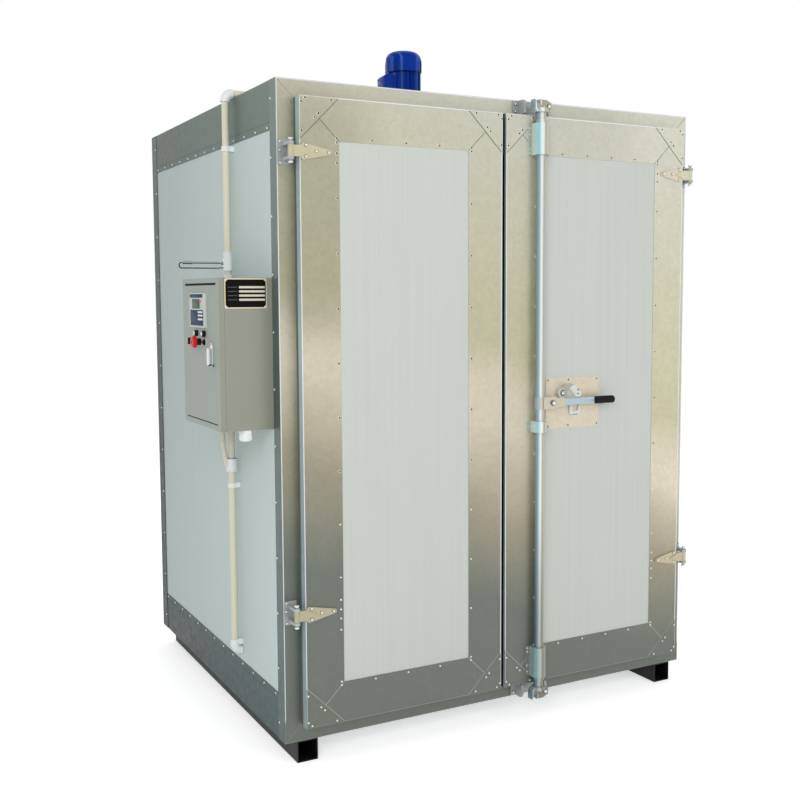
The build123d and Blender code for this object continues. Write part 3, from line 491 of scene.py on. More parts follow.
def powder_coat(name, colour, shaded_side_colour=None):
    """Paint with the fine pebbled skin of a powder coat, with painted shade in another tone on faces to the front or
    the back.
    """
    finish = Finish(name)
    skin = finish.noise(1.6 * mm, 2.0)
    fade = finish.noise(0.25, 3.0)
    grain = finish.bump(skin, 0.12, 0.25 * mm)
    tone = seen(colour)
    if shaded_side_colour:
        tone = finish.mix(tone, seen(shaded_side_colour), abs(finish.faces("Y")).between(0.6, 0.8))
    return finish.surface(finish.scaled(tone, 0.98 + (fade - 0.5) * 0.08), 0.45 + fade * 0.06, 0.0, grain)


def gloss_paint(name, colour):
    """Enamel over a casting, with painted sheen in bands round it and on top, and painted shade where it faces right.
    """
    finish = Finish(name)
    cast = finish.noise(2.2 * mm, 3.0)
    fade = finish.noise(60 * mm, 3.0)
    grain = finish.bump(cast, 0.10, 0.3 * mm)
    painted_sheen, painted_shade_tone = seen([0.25 + channel * 0.75 for channel in colour]), seen([channel * 0.45 for channel in colour])
    plain = seen(colour)
    stops = [
        (0.0, plain), (0.045, painted_sheen), (0.08, plain), (0.18, plain), (0.22, painted_sheen), (0.27, plain), (0.62, plain),
        (0.72, painted_sheen), (0.79, plain), (1.0, painted_shade_tone),
    ]
    tone = finish.ramp(finish.faces("X") * 0.5 + 0.5, stops)
    tone = finish.mix(tone, painted_sheen, finish.faces("Z").between(0.55, 0.9))
    return finish.surface(finish.scaled(tone, 0.85 + fade * 0.3), 0.2 + fade * 0.1, 0.0, grain, specular_ior_level=0.08)


def stop_finish():
    """Mushroom head in red on a dark stem."""
    finish = Finish("stop_plastic")
    head_depth = 14.5 * mm
    on_stem = finish.axes()[0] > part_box("emergency_stop")[0].x + head_depth
    red = finish.scaled(seen(colours().stop), 0.9 + finish.noise(12 * mm, 2.0) * 0.2)
    return finish.surface(finish.mix(red, seen((0.07, 0.07, 0.08)), on_stem), 0.28, 0.0, specular_ior_level=0.3)


def moulded(name, colour, rough=0.38, bump=0.06, gloss=0.5):
    """Plain moulded plastic with a slight mottle."""
    finish = Finish(name)
    mottle = finish.noise(30 * mm, 3.0)
    skin = finish.noise(1.2 * mm, 2.0)
    colour = finish.scaled(seen(colour), 0.97 + (mottle - 0.5) * 0.08)
    return finish.surface(
        colour, rough + mottle * 0.08, 0.0, finish.bump(skin, bump, 0.2 * mm), specular_ior_level=gloss
    )


def rubber(name):
    """Dark grip rubber with dust in its grain."""
    finish = Finish(name)
    dust = finish.noise(9 * mm, 4.0, 0.65)
    colour = finish.mix(seen((0.05, 0.05, 0.05)), seen((0.11, 0.11, 0.105)), dust.between(0.45, 0.8))
    skin = finish.bump(dust, 0.15, 0.3 * mm)
    return finish.surface(colour, 0.55 + dust * 0.2, 0.0, skin, specular_ior_level=0.2)


def black_paint(name, grey=0.06, gloss=0.3):
    """Dark paint, worn paler in patches."""
    finish = Finish(name)
    wear = finish.noise(0.08, 4.0, 0.6)
    colour = finish.mix(seen((grey, grey, grey)), seen((grey * 1.7, grey * 1.65, grey * 1.5)), wear.between(0.5, 0.85))
    grain = finish.bump(finish.noise(2 * mm), 0.08, 0.2 * mm)
    return finish.surface(colour, 0.42 + wear * 0.2, 0.0, grain, specular_ior_level=gloss)


def chrome(name):
    """Polished plate with painted reflection: dark where it faces down or back, light where it faces up."""
    finish = Finish(name)
    haze = finish.noise(12 * mm, 3.0)
    shade = finish.faces("Z").between(-0.9, 0.1)
    tone = finish.mix(seen((0.30, 0.31, 0.34)), seen((0.88, 0.89, 0.90)), shade)
    return finish.surface(finish.scaled(tone, 0.92 + haze * 0.12), 0.10 + haze * 0.10, 0.9)


def seal(name):
    """Woven heat-proof seal."""
    finish = Finish(name)
    x, _, z = finish.axes()
    waves = 2 * math.pi / (4 * mm)
    weave = ((x + z) * waves).sine() * ((x - z) * waves).sine()
    colour = finish.scaled(seen((0.43, 0.47, 0.45)), 0.9 + weave * 0.15)
    return finish.surface(colour, 0.85, 0.0, finish.bump(weave, 0.4, 0.6 * mm))


def glow(name, colour, strength):
    """Lit lamp or pixel."""
    finish = Finish(name)
    halo = finish.noise(3 * mm, 2.0)
    lit = finish.scaled(seen(colour), 0.85 + halo * 0.3)
    return finish.surface(lit, 0.3, 0.0, emission_color=seen(colour), emission_strength=strength)


materials = {}


def make_materials():
    """Every finish, under the name that the pieces call it by."""
    c = colours()
    materials.update({
        "front_sheet": front_sheet(),
        "side_sheet": side_sheet(),
        "liner": spangle(Finish("galvanised_liner"), seen((0.70, 0.72, 0.69))),
        "post_sheet": post_sheet(),
        "hem": hem_sheet(),
        "door_panel": coated_panel("door_panel_coat", c.panel_front),
        "wall_panel": coated_panel("wall_panel_coat", c.panel_side, painted_shade_to_back=0.26),
        "back_panel": coated_panel("back_panel_coat", c.panel_side),
        "zinc": zinc_plate(),
        "rod_zinc": round_zinc("rod_zinc"),
        "guide_zinc": round_zinc("guide_zinc", guide_stops()),
        "warm_sheet": spangle(Finish("handle_plate_sheet"), seen(c.backing)),
        "rivet": pressed_metal("rivet_rim", (0.97, 0.96, 0.90), metallic=0.3),
        "rivet_pit": pressed_metal("rivet_pit", (0.13, 0.12, 0.09), metallic=0.1, rough=0.5),
        "strap": strap_zinc(),
        "bracket": pressed_metal("bracket_zinc", (0.68, 0.70, 0.70), 0.35, rough=0.4, blotch=20 * mm),
        "bar": pressed_metal("bar_zinc", (0.70, 0.76, 0.79), 0.35, rough=0.35, blotch=30 * mm),
        "slot": black_paint("slot_painted_shade", grey=0.03, gloss=0.05),
        "plate_text": pressed_metal("plate_text", (0.30, 0.28, 0.25), metallic=0.1, rough=0.4),
        "bolt": pressed_metal("bolt_plate", (0.88, 0.88, 0.86), metallic=0.8, rough=0.15),
        "bolt_shade": pressed_metal("bolt_shade", (0.17, 0.17, 0.18), metallic=0.2, rough=0.4),
        "cabinet_door": powder_coat("cabinet_door_coat", c.cabinet_door, c.cabinet_shade_tone),
        "cabinet_box": powder_coat("cabinet_box_coat", c.cabinet_shade_tone),
        "stool": powder_coat("stool_paint", (0.36, 0.38, 0.39)),
        "conduit": moulded("conduit_plastic", c.conduit),
        "fitting": moulded("fitting_plastic", c.fitting),
        "motor": gloss_paint("motor_paint", c.motor),
        "motor_shade": gloss_paint("motor_shade", (0.01, 0.05, 0.16)),
        "stop": stop_finish(),
        "rubber": rubber("grip_rubber"),
        "black": moulded("black_plastic", (0.06, 0.06, 0.065), rough=0.32, gloss=0.2),
        "skid": black_paint("skid_paint"),
        "plate_black": black_paint("plate_enamel", grey=0.04, gloss=0.1),
        "shadow": black_paint("seam_shadow", grey=0.20),
        "gusset_edge": gusset_edge(),
        "catch": pressed_metal("catch_zinc", (0.82, 0.83, 0.80), 0.3, rough=0.35, blotch=30 * mm),
        "faint_seam": pressed_metal("faint_seam", (0.56, 0.54, 0.46), metallic=0.2, rough=0.4),
        "chrome": chrome("latch_chrome"),
        "bezel": moulded("controller_bezel", (0.80, 0.83, 0.80), rough=0.35),
        "key": moulded("controller_key", (0.92, 0.92, 0.92), rough=0.3, bump=0.0),
        "lamp_lens": moulded("lamp_lens", (0.93, 0.93, 0.96), rough=0.12, bump=0.0),
        "seal": seal("door_seal"),
        "fascia": moulded("controller_fascia", c.fascia, rough=0.4, bump=0.0, gloss=0.06),
        "screen": moulded("controller_screen", c.screen, rough=0.3, bump=0.0, gloss=0.06),
        "brass": warm_metal("plate_border", c.brass),
        "strip": moulded("plate_strip", c.strip, rough=0.4, bump=0.0),
        "red_light": glow("red_light", (0.86, 0.30, 0.34), strength=0.2),
        "green_light": glow("green_light", (0.42, 0.82, 0.46), strength=0.2),
    })


node_finishes = {
    "front_sheet": [
        "front_sill", "front_header", "left_door_frame", "right_door_frame", "left_door_gussets", "right_door_gussets",
    ],
    "post_sheet": ["front_left_post", "front_right_post"],
    "side_sheet": [
        "rear_left_strip", "rear_right_strip", "side_bottom_channels", "side_top_channels", "back_channels",
    ],
    "liner": ["left_door_plug", "right_door_plug"],
    "door_panel": ["left_door_panel", "right_door_panel"],
    "wall_panel": ["left_wall_panel", "right_wall_panel"],
    "back_panel": ["back_wall_panel", "roof_panel", "floor_panel"],
    "zinc": ["handle_hub"],
    "strap": ["left_door_straps", "right_door_straps"],
    "bracket": ["hinge_brackets", "lock_keepers"],
    "bar": ["handle_bar"],
    "catch": ["handle_catch"],
    "rod_zinc": ["lock_rod"],
    "guide_zinc": ["rod_guides"],
    "warm_sheet": ["handle_plate"],
    "cabinet_door": ["cabinet_door"],
    "cabinet_box": ["cabinet_box", "cabinet_hinges"],
    "stool": ["motor_stool"],
    "conduit": ["wall_conduit", "roof_conduit", "branch_conduit"],
    "fitting": ["cable_gland", "conduit_fittings", "conduit_clips"],
    "bezel": ["temperature_controller"],
    "motor": ["motor_body", "motor_fan_cover", "motor_terminal_box"],
    "stop": ["emergency_stop"],
    "rubber": ["handle_grip"],
    "black": ["pilot_lamps", "push_button", "selector_switch", "probe_lead"],
    "skid": ["left_skid", "right_skid"],
    "plate_black": ["rating_plate"],
    "chrome": ["cabinet_latch", "temperature_probe"],
    "seal": ["left_door_gasket", "right_door_gasket"],
}


# Modelling: edges flatter than these degrees are shaded smooth
soft_angle, bead_angle = 35, 50


def to_objects():
    if bpy.context.mode != "OBJECT":
        bpy.ops.object.mode_set(mode="OBJECT")


def only(*pieces):
    """Select these pieces alone, the last one active."""
    to_objects()
    bpy.ops.object.select_all(action="DESELECT")
    for piece in pieces:
        piece.select_set(True)
        bpy.context.view_layer.objects.active = piece


def begin(kind, **sizes):
    """Add a primitive with nothing else selected, and open it for editing."""
    only()
    getattr(bpy.ops.mesh, f"primitive_{kind}_add")(**sizes)
    bpy.ops.object.mode_set(mode="EDIT")
    return bpy.context.object


def pick_top():
    """Select the faces of the piece in hand that point up."""
    mesh = bpy.context.object.data
    bpy.ops.mesh.select_mode(type="FACE")
    bpy.ops.mesh.select_all(action="DESELECT")
    shape = bmesh.from_edit_mesh(mesh)
    for face in shape.faces:
        face.select_set(face.normal.z > 0.9)
    bmesh.update_edit_mesh(mesh)


def settle(piece, smooth=None):
    """Close the editing and move the piece's place into its mesh."""
    only(piece)
    bpy.ops.object.transform_apply(location=True, rotation=True, scale=True)
    if smooth is not None:
        bpy.ops.object.shade_smooth_by_angle(angle=math.radians(smooth))
    return piece


def joined(pieces):
    """Several meshes as one piece at the origin."""
    only(*pieces)
    if len(pieces) > 1:
        bpy.ops.object.join()
    return settle(bpy.context.object)


def bearing(angle):
    """Level direction at an angle from the body's right, turning towards its back."""
    return Vector((math.cos(angle), math.sin(angle), 0))


def facing(direction, turn=0.0):
    """Turns a piece that points up so that it points that way."""
    return direction.to_track_quat("Z", "Y").to_matrix().to_4x4() @ Matrix.Rotation(turn, 4, "Z")


def laid(piece, point, direction):
    """Set a piece down at a point, its top that way."""
    piece.matrix_world = Matrix.Translation(point) @ facing(direction)
    return settle(piece)


def set_on(points, direction, turn=0.0):
    """Places for copies at these points, each turned a little further than the last."""
    return [(point, direction, turn * index) for index, point in enumerate(points)]


def copies(model, places):
    """The model at each (point, direction, turn), joined, with the model itself removed."""
    made = []
    for point, direction, turn in places:
        copy = model.copy()
        copy.data = model.data.copy()
        bpy.context.collection.objects.link(copy)
        copy.matrix_world = Matrix.Translation(point) @ facing(direction, turn)
        made.append(copy)
    piece = joined(made)
    bpy.data.objects.remove(model)
    return piece


def keep(piece, name, body, material=None):
    """Name a finished piece and let it ride on its body, in one material or in those it was dressed in."""
    piece.name = name
    piece.data.name = name
    if material:
        piece.data.materials.clear()
        piece.data.materials.append(materials[material])
    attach(piece, body)


def dress(piece, main, other=None, test=None):
    """Give a piece its material, and another one to the faces whose distance from its axis passes a test."""
    piece.data.materials.append(materials[main])
    if other:
        piece.data.materials.append(materials[other])
        for face in piece.data.polygons:
            if test(math.hypot(face.center.x, face.center.y)):
                face.material_index = 1
    return piece


def turned(radius, rise, steps=(), facets=20):
    """A round piece that stands on the origin: a disc, then steps of (radius, rise) drawn from its top."""
    piece = begin("cylinder", vertices=facets, radius=radius, depth=rise, location=(0, 0, rise / 2))
    pick_top()
    width = radius
    for step_radius, lift in steps:
        bpy.ops.mesh.extrude_region_move(TRANSFORM_OT_translate={"value": (0, 0, lift)})
        bpy.ops.transform.resize(value=(step_radius / width, step_radius / width, 1))
        width = step_radius
    return settle(piece, soft_angle)


def slab(width, height, thick, corner=0.0, segments=4):
    """A flat plate that lies on the origin, its corners rounded, left open for editing."""
    piece = begin("plane", size=1)
    bpy.ops.mesh.select_all(action="SELECT")
    bpy.ops.transform.resize(value=(width, height, 1))
    if corner:
        bpy.ops.mesh.bevel(offset=corner, segments=segments, affect="VERTICES")
        bpy.ops.mesh.select_all(action="SELECT")
    bpy.ops.mesh.extrude_region_move(TRANSFORM_OT_translate={"value": (0, 0, thick)})
    bpy.ops.mesh.select_all(action="SELECT")
    bpy.ops.mesh.normals_make_consistent(inside=False)
    return piece


def tile(width, height, thick, corner=0.0, edge=0.0, segments=4):
    """A flat plate with rounded corners and a softened front edge."""
    piece = slab(width, height, thick, corner, segments)
    if edge:
        pick_top()
        bpy.ops.mesh.bevel(offset=edge, segments=2, affect="EDGES")
    return settle(piece, soft_angle)


def bar(start, finish, width, proud, direction):
    """A slim bar laid on a surface from start to finish, standing that far proud of it."""
    run = finish - start
    piece = slab(run.length, width, proud)
    to_objects()
    along = run.normalized()
    turn = Matrix((along, direction.cross(along), direction)).transposed().to_4x4()
    piece.matrix_world = Matrix.Translation((start + finish) / 2) @ turn
    return settle(piece)


def spread(start, finish, pitch):
    """Evenly spaced points from start to finish, about a pitch apart."""
    count = max(1, round((finish - start).length / pitch))
    return [start.lerp(finish, step / count) for step in range(count + 1)]


def corners(x0, x1, z0, z1):
    """The corners of an upright face, as (x, its way inwards, z, its way inwards)."""
    return [(x, way, z, rise) for x, way in ((x0, 1), (x1, -1)) for z, rise in ((z0, 1), (z1, -1))]


def centre(name):
    """Middle of a CAD piece's box."""
    low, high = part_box(name)
    return (low + high) / 2


# Round heads
def head(radius, rise, steps, facets):
    """A round head, its rises and steps given as shares of its radius."""
    return turned(radius, rise * radius, [(width * radius, lift * radius) for width, lift in steps], facets)


def rivet_head():
    """Pulled rivet: a flat flange, a low dome and the pit its mandrel leaves, painted dark as shade."""
    radius = settings().rivet_radius
    piece = head(radius, 0.25, [(0.90, 0.18), (0.78, 0.12), (0.68, 0.0), (0.60, -0.25)], 12)
    return dress(piece, "rivet", "rivet_pit", lambda reach: reach < 0.7 * radius)


def bright_rivet():
    """Domed rivet head, smaller than a pulled one."""
    radius = 0.68 * settings().rivet_radius
    return dress(head(radius, 0.2, [(0.92, 0.25), (0.74, 0.22), (0.45, 0.15), (0.15, 0.04)], 12), "rivet")


def round_bolt(radius, main="bolt"):
    """Domed bolt head on a washer, its rim painted dark as shade."""
    piece = head(radius, 0.14, [(0.78, 0.0), (0.76, 0.22), (0.66, 0.16), (0.42, 0.12), (0.14, 0.04)], 16)
    return dress(piece, main, "bolt_shade", lambda reach: reach > 0.86 * radius)


def pan_screw(radius):
    """Round screw head with a sunk middle painted dark as shade."""
    piece = head(radius, 0.2, [(0.9, 0.2), (0.72, 0.16), (0.3, 0.0), (0.26, -0.25)], 14)
    return dress(piece, "bolt", "bolt_shade", lambda reach: reach < 0.32 * radius)


def plain_head(radius, rise, steps, finish, facets=20):
    """A round head in one finish, its sizes in millimetres."""
    return dress(turned(radius * mm, rise * mm, [(width * mm, lift * mm) for width, lift in steps], facets), finish)


# Stage
camera_offset = Vector((-1.2645, -3.2687, 1.5094))
camera_yaw, camera_pitch, camera_roll = (math.radians(angle) for angle in (28.374, -4.893, -0.240))
camera_lens, camera_shift = 48.08, (-0.01845, -0.0188)
ambient, white_point = 0.52, 1.04
floor_size = 60
# Name, place, width and watts
softboxes = [
    ("key_lamp", (-3.2, -4.6, 3.0), 2.4, 95),
    ("fill_lamp", (2.6, -5.4, 2.4), 3.0, 60),
    ("back_lamp", (1.0, 4.5, 4.0), 3.0, 60),
]


def add_camera():
    """Camera at the photographer's place, measured from the body's front left foot."""
    lens = bpy.data.cameras.new("camera")
    lens.lens = camera_lens
    lens.shift_x, lens.shift_y = camera_shift
    camera = bpy.data.objects.new("camera", lens)
    bpy.context.collection.objects.link(camera)
    turn = Matrix.Rotation(-camera_yaw, 4, "Z") @ Matrix.Rotation(math.pi / 2 + camera_pitch, 4, "X")
    place = Matrix.Translation(post_low + camera_offset)
    camera.matrix_world = place @ turn @ Matrix.Rotation(camera_roll, 4, "Z")
    bpy.context.scene.camera = camera


def add_lamp(name, place, size, power):
    """Square softbox that points at the middle of the oven and shows in no mirror."""
    light = bpy.data.lights.new(name, "AREA")
    light.size = size
    light.energy = power
    lamp = bpy.data.objects.new(name, light)
    bpy.context.collection.objects.link(lamp)
    lamp.matrix_world = Matrix.Translation(place) @ facing(Vector(place) - (cad_box[0] + cad_box[1]) / 2)
    lamp.visible_glossy = False


def add_world():
    """White where it is seen, and dimmer where it lights the oven."""
    world = bpy.data.worlds.new("studio")
    world.use_nodes = True
    nodes = Nodes(world.node_tree)
    strength = nodes.background_rays() * (1 - ambient) + ambient
    sky = nodes.node("ShaderNodeBackground", {}, {"Color": (1, 1, 1, 1), "Strength": strength})
    nodes.node("ShaderNodeOutputWorld", {}, {"Surface": sky})
    bpy.context.scene.world = world


def floor_material():
    """Pale matt floor, lifted to white where it is seen, that keeps the oven's shadow."""
    finish = Finish("studio_floor")
    mottle = finish.noise(0.8, 2.0)
    colour = finish.scaled(seen((0.97, 0.97, 0.97)), 0.99 + mottle * 0.02)
    matt = finish.node("ShaderNodeBsdfPrincipled", {}, {"Base Color": colour, "Roughness": 0.9})
    lift = finish.node("ShaderNodeEmission", {}, {"Strength": finish.background_rays() * (white_point - ambient)})
    both = finish.node("ShaderNodeAddShader", {}, {0: matt, 1: lift})
    finish.node("ShaderNodeOutputMaterial", {}, {0: both})
    return finish.material


class OVEN_OT_stage(bpy.types.Operator):
    """Camera, lamps, world and floor"""

    bl_idname = "oven.stage"
    bl_label = "Stage"

    def execute(self, context):
        add_camera()
        add_world()
        for softbox in softboxes:
            add_lamp(*softbox)
        floor = begin("plane", size=floor_size, location=(0, 0, cad_box[0].z))
        bpy.ops.mesh.select_all(action="SELECT")
        bpy.ops.mesh.subdivide(number_cuts=3)
        settle(floor)
        floor.name = "floor"
        floor.data.materials.append(floor_material())
        context.scene.view_settings.view_transform = "Standard"
        return {"FINISHED"}


class OVEN_OT_finishes(bpy.types.Operator):
    """Procedural finishes on every piece of the frame"""

    bl_idname = "oven.finishes"
    bl_label = "Finishes"

    def execute(self, context):
        make_materials()
        left_over = set(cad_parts)
        for finish, names in node_finishes.items():
            for name in names:
                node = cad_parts[name]
                node.data.materials.clear()
                node.data.materials.append(materials[finish])
                left_over.remove(name)
        if left_over:
            raise RuntimeError(f"no finish is named for {sorted(left_over)}")
        return {"FINISHED"}


# Rivets: marks are in millimetres from a corner plate's corner, and up and down from a strap's middle
rail_width = 140 * mm
rivet_inset, rail_start, strap_half, corner_end = 10 * mm, 12 * mm, 27 * mm, 60 * mm
gusset_marks = [(7, 22), (20, 9), (111, 10), (53, 68), (66, 55), (7, 113)]
strap_marks = (33, 0, -31)
# Door rivets above this height get dark pits as painted shade, those below are plain bright domes as painted highlight.
shaded_rivet_height = body_foot + 0.9
rivet_turn = 0.37
panel_gap, edge_gap = 25 * mm, 20 * mm


def riveted(points, direction, name, body):
    """Domed rivets at these points."""
    keep(copies(bright_rivet(), set_on(points, direction, rivet_turn)), name, body)


def door_rivets(side):
    """Rivets round a door's panel, beside its hinges and on its four corner plates."""
    low, high = doors[side]
    sizes = settings()
    edge = rail_width - rivet_inset
    x0, x1, z0, z1 = low.x + edge, high.x - edge, low.z + edge, high.z - edge
    points = []
    for z in (z0, z1):
        points += spread(Vector((x0, door_face, z)), Vector((x1, door_face, z)), sizes.bar_pitch)
    for x in (x0, x1):
        foot, top = Vector((x, door_face, z0 + rail_start)), Vector((x, door_face, z1 - rail_start))
        points += spread(foot, top, sizes.rail_pitch)
    hinge_x = x0 if side == "left" else x1
    strap_low, strap_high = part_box(side + "_door_straps")
    for middle in (strap_low.z + strap_half, strap_high.z - strap_half):
        points += [Vector((hinge_x, door_face, middle + rise * mm)) for rise in strap_marks]
    plate_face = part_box(side + "_door_gussets")[0].y
    for x, way, z, rise in corners(low.x, high.x, low.z, high.z):
        points += [Vector((x + way * out * mm, plate_face, z + rise * along * mm)) for out, along in gusset_marks]
    return set_on(points, front, rivet_turn)


class OVEN_OT_door_rivets(bpy.types.Operator):
    """Rivets on both doors: pulled ones with pits painted dark high up, and plain bright domed ones low down; the split
    by height is painted shade and highlight
    """

    bl_idname = "oven.door_rivets"
    bl_label = "Door rivets"

    def execute(self, context):
        for side in sides:
            upper, lower = [], []
            for place in door_rivets(side):
                (upper if place[0].z > shaded_rivet_height else lower).append(place)
            keep(copies(rivet_head(), upper), side + "_door_rivets_upper", side + "_door")
            keep(copies(bright_rivet(), lower), side + "_door_rivets_lower", side + "_door")
        return {"FINISHED"}


def wall_rivets(point, ends, trim_face, edges, corner_face):
    """Rivets along a wall's two trims and up its two corners; point(along, face, z) gives a place on the wall."""
    sizes = settings()
    points = []
    for z in (trim_high.z - rivet_inset, top_trim_foot + rivet_inset):
        points += spread(*(point(along, trim_face, z) for along in ends), sizes.trim_pitch)
    for along in edges:
        heights = (body_foot + corner_end, body_top - corner_end)
        points += spread(*(point(along, corner_face, z) for z in heights), sizes.corner_pitch)
    return points


class OVEN_OT_body_rivets(bpy.types.Operator):
    """Rivets on the side walls and the back"""

    bl_idname = "oven.body_rivets"
    bl_label = "Body rivets"

    def execute(self, context):
        ends = (post_high.y + panel_gap, strip_low.y - edge_gap)
        edges = (post_high.y - rivet_inset, strip_low.y + rivet_inset)
        walls = (("left", left, trim_low.x, body_left), ("right", right, trim_high.x, body_right))
        for side, direction, trim_face, face in walls:
            points = wall_rivets(lambda y, x, z: Vector((x, y, z)), ends, trim_face, edges, face)
            riveted(points, direction, side + "_wall_rivets", "root")
        far = 2 * middle_x - strip_high.x
        ends = (strip_high.x + edge_gap, far - edge_gap)
        edges = (strip_high.x - rivet_inset, far + rivet_inset)
        back_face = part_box("back_channels")[1].y
        points = wall_rivets(lambda x, y, z: Vector((x, y, z)), ends, back_face, edges, body_back)
        riveted(points, rear, "back_wall_rivets", "root")
        return {"FINISHED"}


def hem(x0, x1, z0, z1, y):
    """A round bead just inside the edge of an upright face."""
    radius = settings().hem_radius
    x0, x1, z0, z1, y = x0 + radius, x1 - radius, z0 + radius, z1 - radius, y + radius * 0.3
    curve = bpy.data.curves.new("bead", "CURVE")
    curve.dimensions = "3D"
    line = curve.splines.new("POLY")
    line.points.add(3)
    for point, (x, z) in zip(line.points, ((x0, z0), (x1, z0), (x1, z1), (x0, z1))):
        point.co = (x, y, z, 1)
    line.use_cyclic_u = True
    curve.bevel_depth = radius
    curve.bevel_resolution = 2
    bead = bpy.data.objects.new("bead", curve)
    bpy.context.collection.objects.link(bead)
    only(bead)
    bpy.ops.object.convert(target="MESH")
    bpy.ops.object.shade_smooth_by_angle(angle=math.radians(bead_angle))
    return bpy.context.object


class OVEN_OT_hems(bpy.types.Operator):
    """Folded edges round the doors and along the front of the body"""

    bl_idname = "oven.hems"
    bl_label = "Hems"

    def execute(self, context):
        for side in sides:
            low, high = doors[side]
            bead = hem(low.x, high.x, low.z, high.z, door_face)
            keep(bead, side + "_door_hem", side + "_door", "hem")
        bead = hem(body_left, body_right, body_foot, body_top, body_front)
        keep(bead, "front_frame_hem", "root", "hem")
        return {"FINISHED"}


def corner_seams(x0, x1, z0, z1, y, lines):
    """Thin bars at the corners of an upright face, each line between two points (across, along) from its corner."""
    bars = []
    for x, way, z, rise in corners(x0, x1, z0, z1):
        for line in lines:
            start, finish = (Vector((x + way * across, y, z + rise * along)) for across, along in line)
            bars.append(bar(start, finish, settings().seam_width, 0.25 * mm, front))
    return joined(bars)


def trim_folds():
    """Folds along the wall trims, one sheet's edge inside the trim's own, drawn as thin bars in painted shade."""
    inset, end_gap, width, proud = 26 * mm, 2 * mm, 0.9 * mm, 0.3 * mm
    y0, y1 = post_high.y + end_gap, strip_low.y - end_gap
    bars = []
    for x, direction in ((trim_low.x, left), (trim_high.x, right)):
        for z in (trim_high.z - inset, top_trim_foot + inset):
            bars.append(bar(Vector((x, y0, z)), Vector((x, y1, z)), width, proud, direction))
    return joined(bars)


class OVEN_OT_seams(bpy.types.Operator):
    """Mitre lines of the door rails and the front frame, edges of the corner plates, and folds of the trims"""

    bl_idname = "oven.seams"
    bl_label = "Seams"

    def execute(self, context):
        width = settings().seam_width
        half, gap = rail_width / 2, width * 0.7
        mitre = ((half, half), (rail_width, rail_width))
        plate_edge = ((gap, rail_width + gap), (rail_width + gap, gap))
        for side in sides:
            low, high = doors[side]
            seams = corner_seams(low.x, high.x, low.z, high.z, door_face, [mitre, plate_edge])
            keep(seams, side + "_door_seams", side + "_door", "gusset_edge")
        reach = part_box("front_sill")[1].z - body_foot
        mitre = ((width, width), (reach, reach))
        seams = corner_seams(body_left, body_right, body_foot, body_top, body_front, [mitre])
        keep(seams, "front_frame_seams", "root", "faint_seam")
        keep(trim_folds(), "trim_folds", "root", "shadow")
        return {"FINISHED"}


# Hinges: bolts as (out from the pin, up from it) in millimetres
arm_bolts = [(53, 20), (53, -17), (89, 1), (133, 0)]
bracket_bolts = [(-16, 34), (-17, 6), (-16, -34)]
pin_inset, pin_rise, pin_half = 24 * mm, 40 * mm, 34 * mm


class OVEN_OT_hinge_bolts(bpy.types.Operator):
    """Bolts of the hinges and the caps on their pins"""

    bl_idname = "oven.hinge_bolts"
    bl_label = "Hinge bolts"

    def execute(self, context):
        radius = settings().bolt_radius
        strap_y, bracket_y, pin_y = door_face - 6 * mm, body_front - 5 * mm, door_face - 7 * mm
        low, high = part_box("hinge_brackets")
        caps = []
        for side, x, way in (("left", low.x + pin_inset, 1), ("right", high.x - pin_inset, -1)):
            on_door, on_frame = [], []
            for z in (low.z + pin_rise, high.z - pin_rise):
                for across, rise in arm_bolts:
                    on_door.append((Vector((x + way * across * mm, strap_y, z + rise * mm)), front, across))
                for across, rise in bracket_bolts:
                    on_frame.append((Vector((x + way * across * mm, bracket_y, z + rise * mm)), front, rise))
                caps += [(Vector((x, pin_y, z + pin_half)), up, 0.0), (Vector((x, pin_y, z - pin_half)), down, 0.0)]
            keep(copies(round_bolt(radius, "rivet"), on_door), side + "_strap_bolts", side + "_door")
            keep(copies(round_bolt(radius * 0.9, "rivet"), on_frame), side + "_bracket_bolts", "root")
        keep(copies(plain_head(8, 4, [(7, 2), (3, 1)], "bolt"), caps), "hinge_pin_caps", "root")
        return {"FINISHED"}


# Lock gear
guide_marks = (15 * mm, 38 * mm, 91 * mm, 104 * mm)
saddle_rise = 1.023


class OVEN_OT_lock_gear(bpy.types.Operator):
    """Bolts and screws of the lock rod, its guides and keepers"""

    bl_idname = "oven.lock_gear"
    bl_label = "Lock gear"

    def execute(self, context):
        low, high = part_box("rod_guides")
        flange, y = 7 * mm, door_face - 3 * mm
        heights = [low.z + step for step in guide_marks] + [high.z - step for step in guide_marks]
        heights.append(body_foot + saddle_rise)
        screws = [(Vector((x, y, z)), front, z) for x in (low.x + flange, high.x - flange) for z in heights]
        keep(copies(pan_screw(4.2 * mm), screws), "guide_screws", "right_door")

        low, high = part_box("lock_keepers")
        inset, half, y = 10 * mm, 25 * mm, body_front - 6 * mm
        bolts = [
            Vector((x, y, middle + rise * mm))
            for x in (low.x + inset, high.x - inset) for middle in (low.z + half, high.z - half) for rise in (-13, 13)
        ]
        keep(copies(round_bolt(6.5 * mm), set_on(bolts, front)), "keeper_bolts", "root")

        low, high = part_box("lock_rod")
        out, inward, cam_face = 21 * mm, 24 * mm, low.y + 10 * mm
        bolts = [Vector(((low.x + high.x) / 2 + out, cam_face, z)) for z in (high.z - inward, low.z + inward)]
        keep(copies(round_bolt(8.5 * mm), set_on(bolts, front)), "cam_bolts", "lock_rod")

        pivot, inset, sunk = centre("handle_bar"), 13 * mm, 1 * mm
        pivot.x, pivot.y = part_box("handle_bar")[0].x + inset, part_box("handle_hub")[0].y + sunk
        keep(laid(round_bolt(10 * mm), pivot, front), "pivot_bolt", "lock_rod")
        return {"FINISHED"}


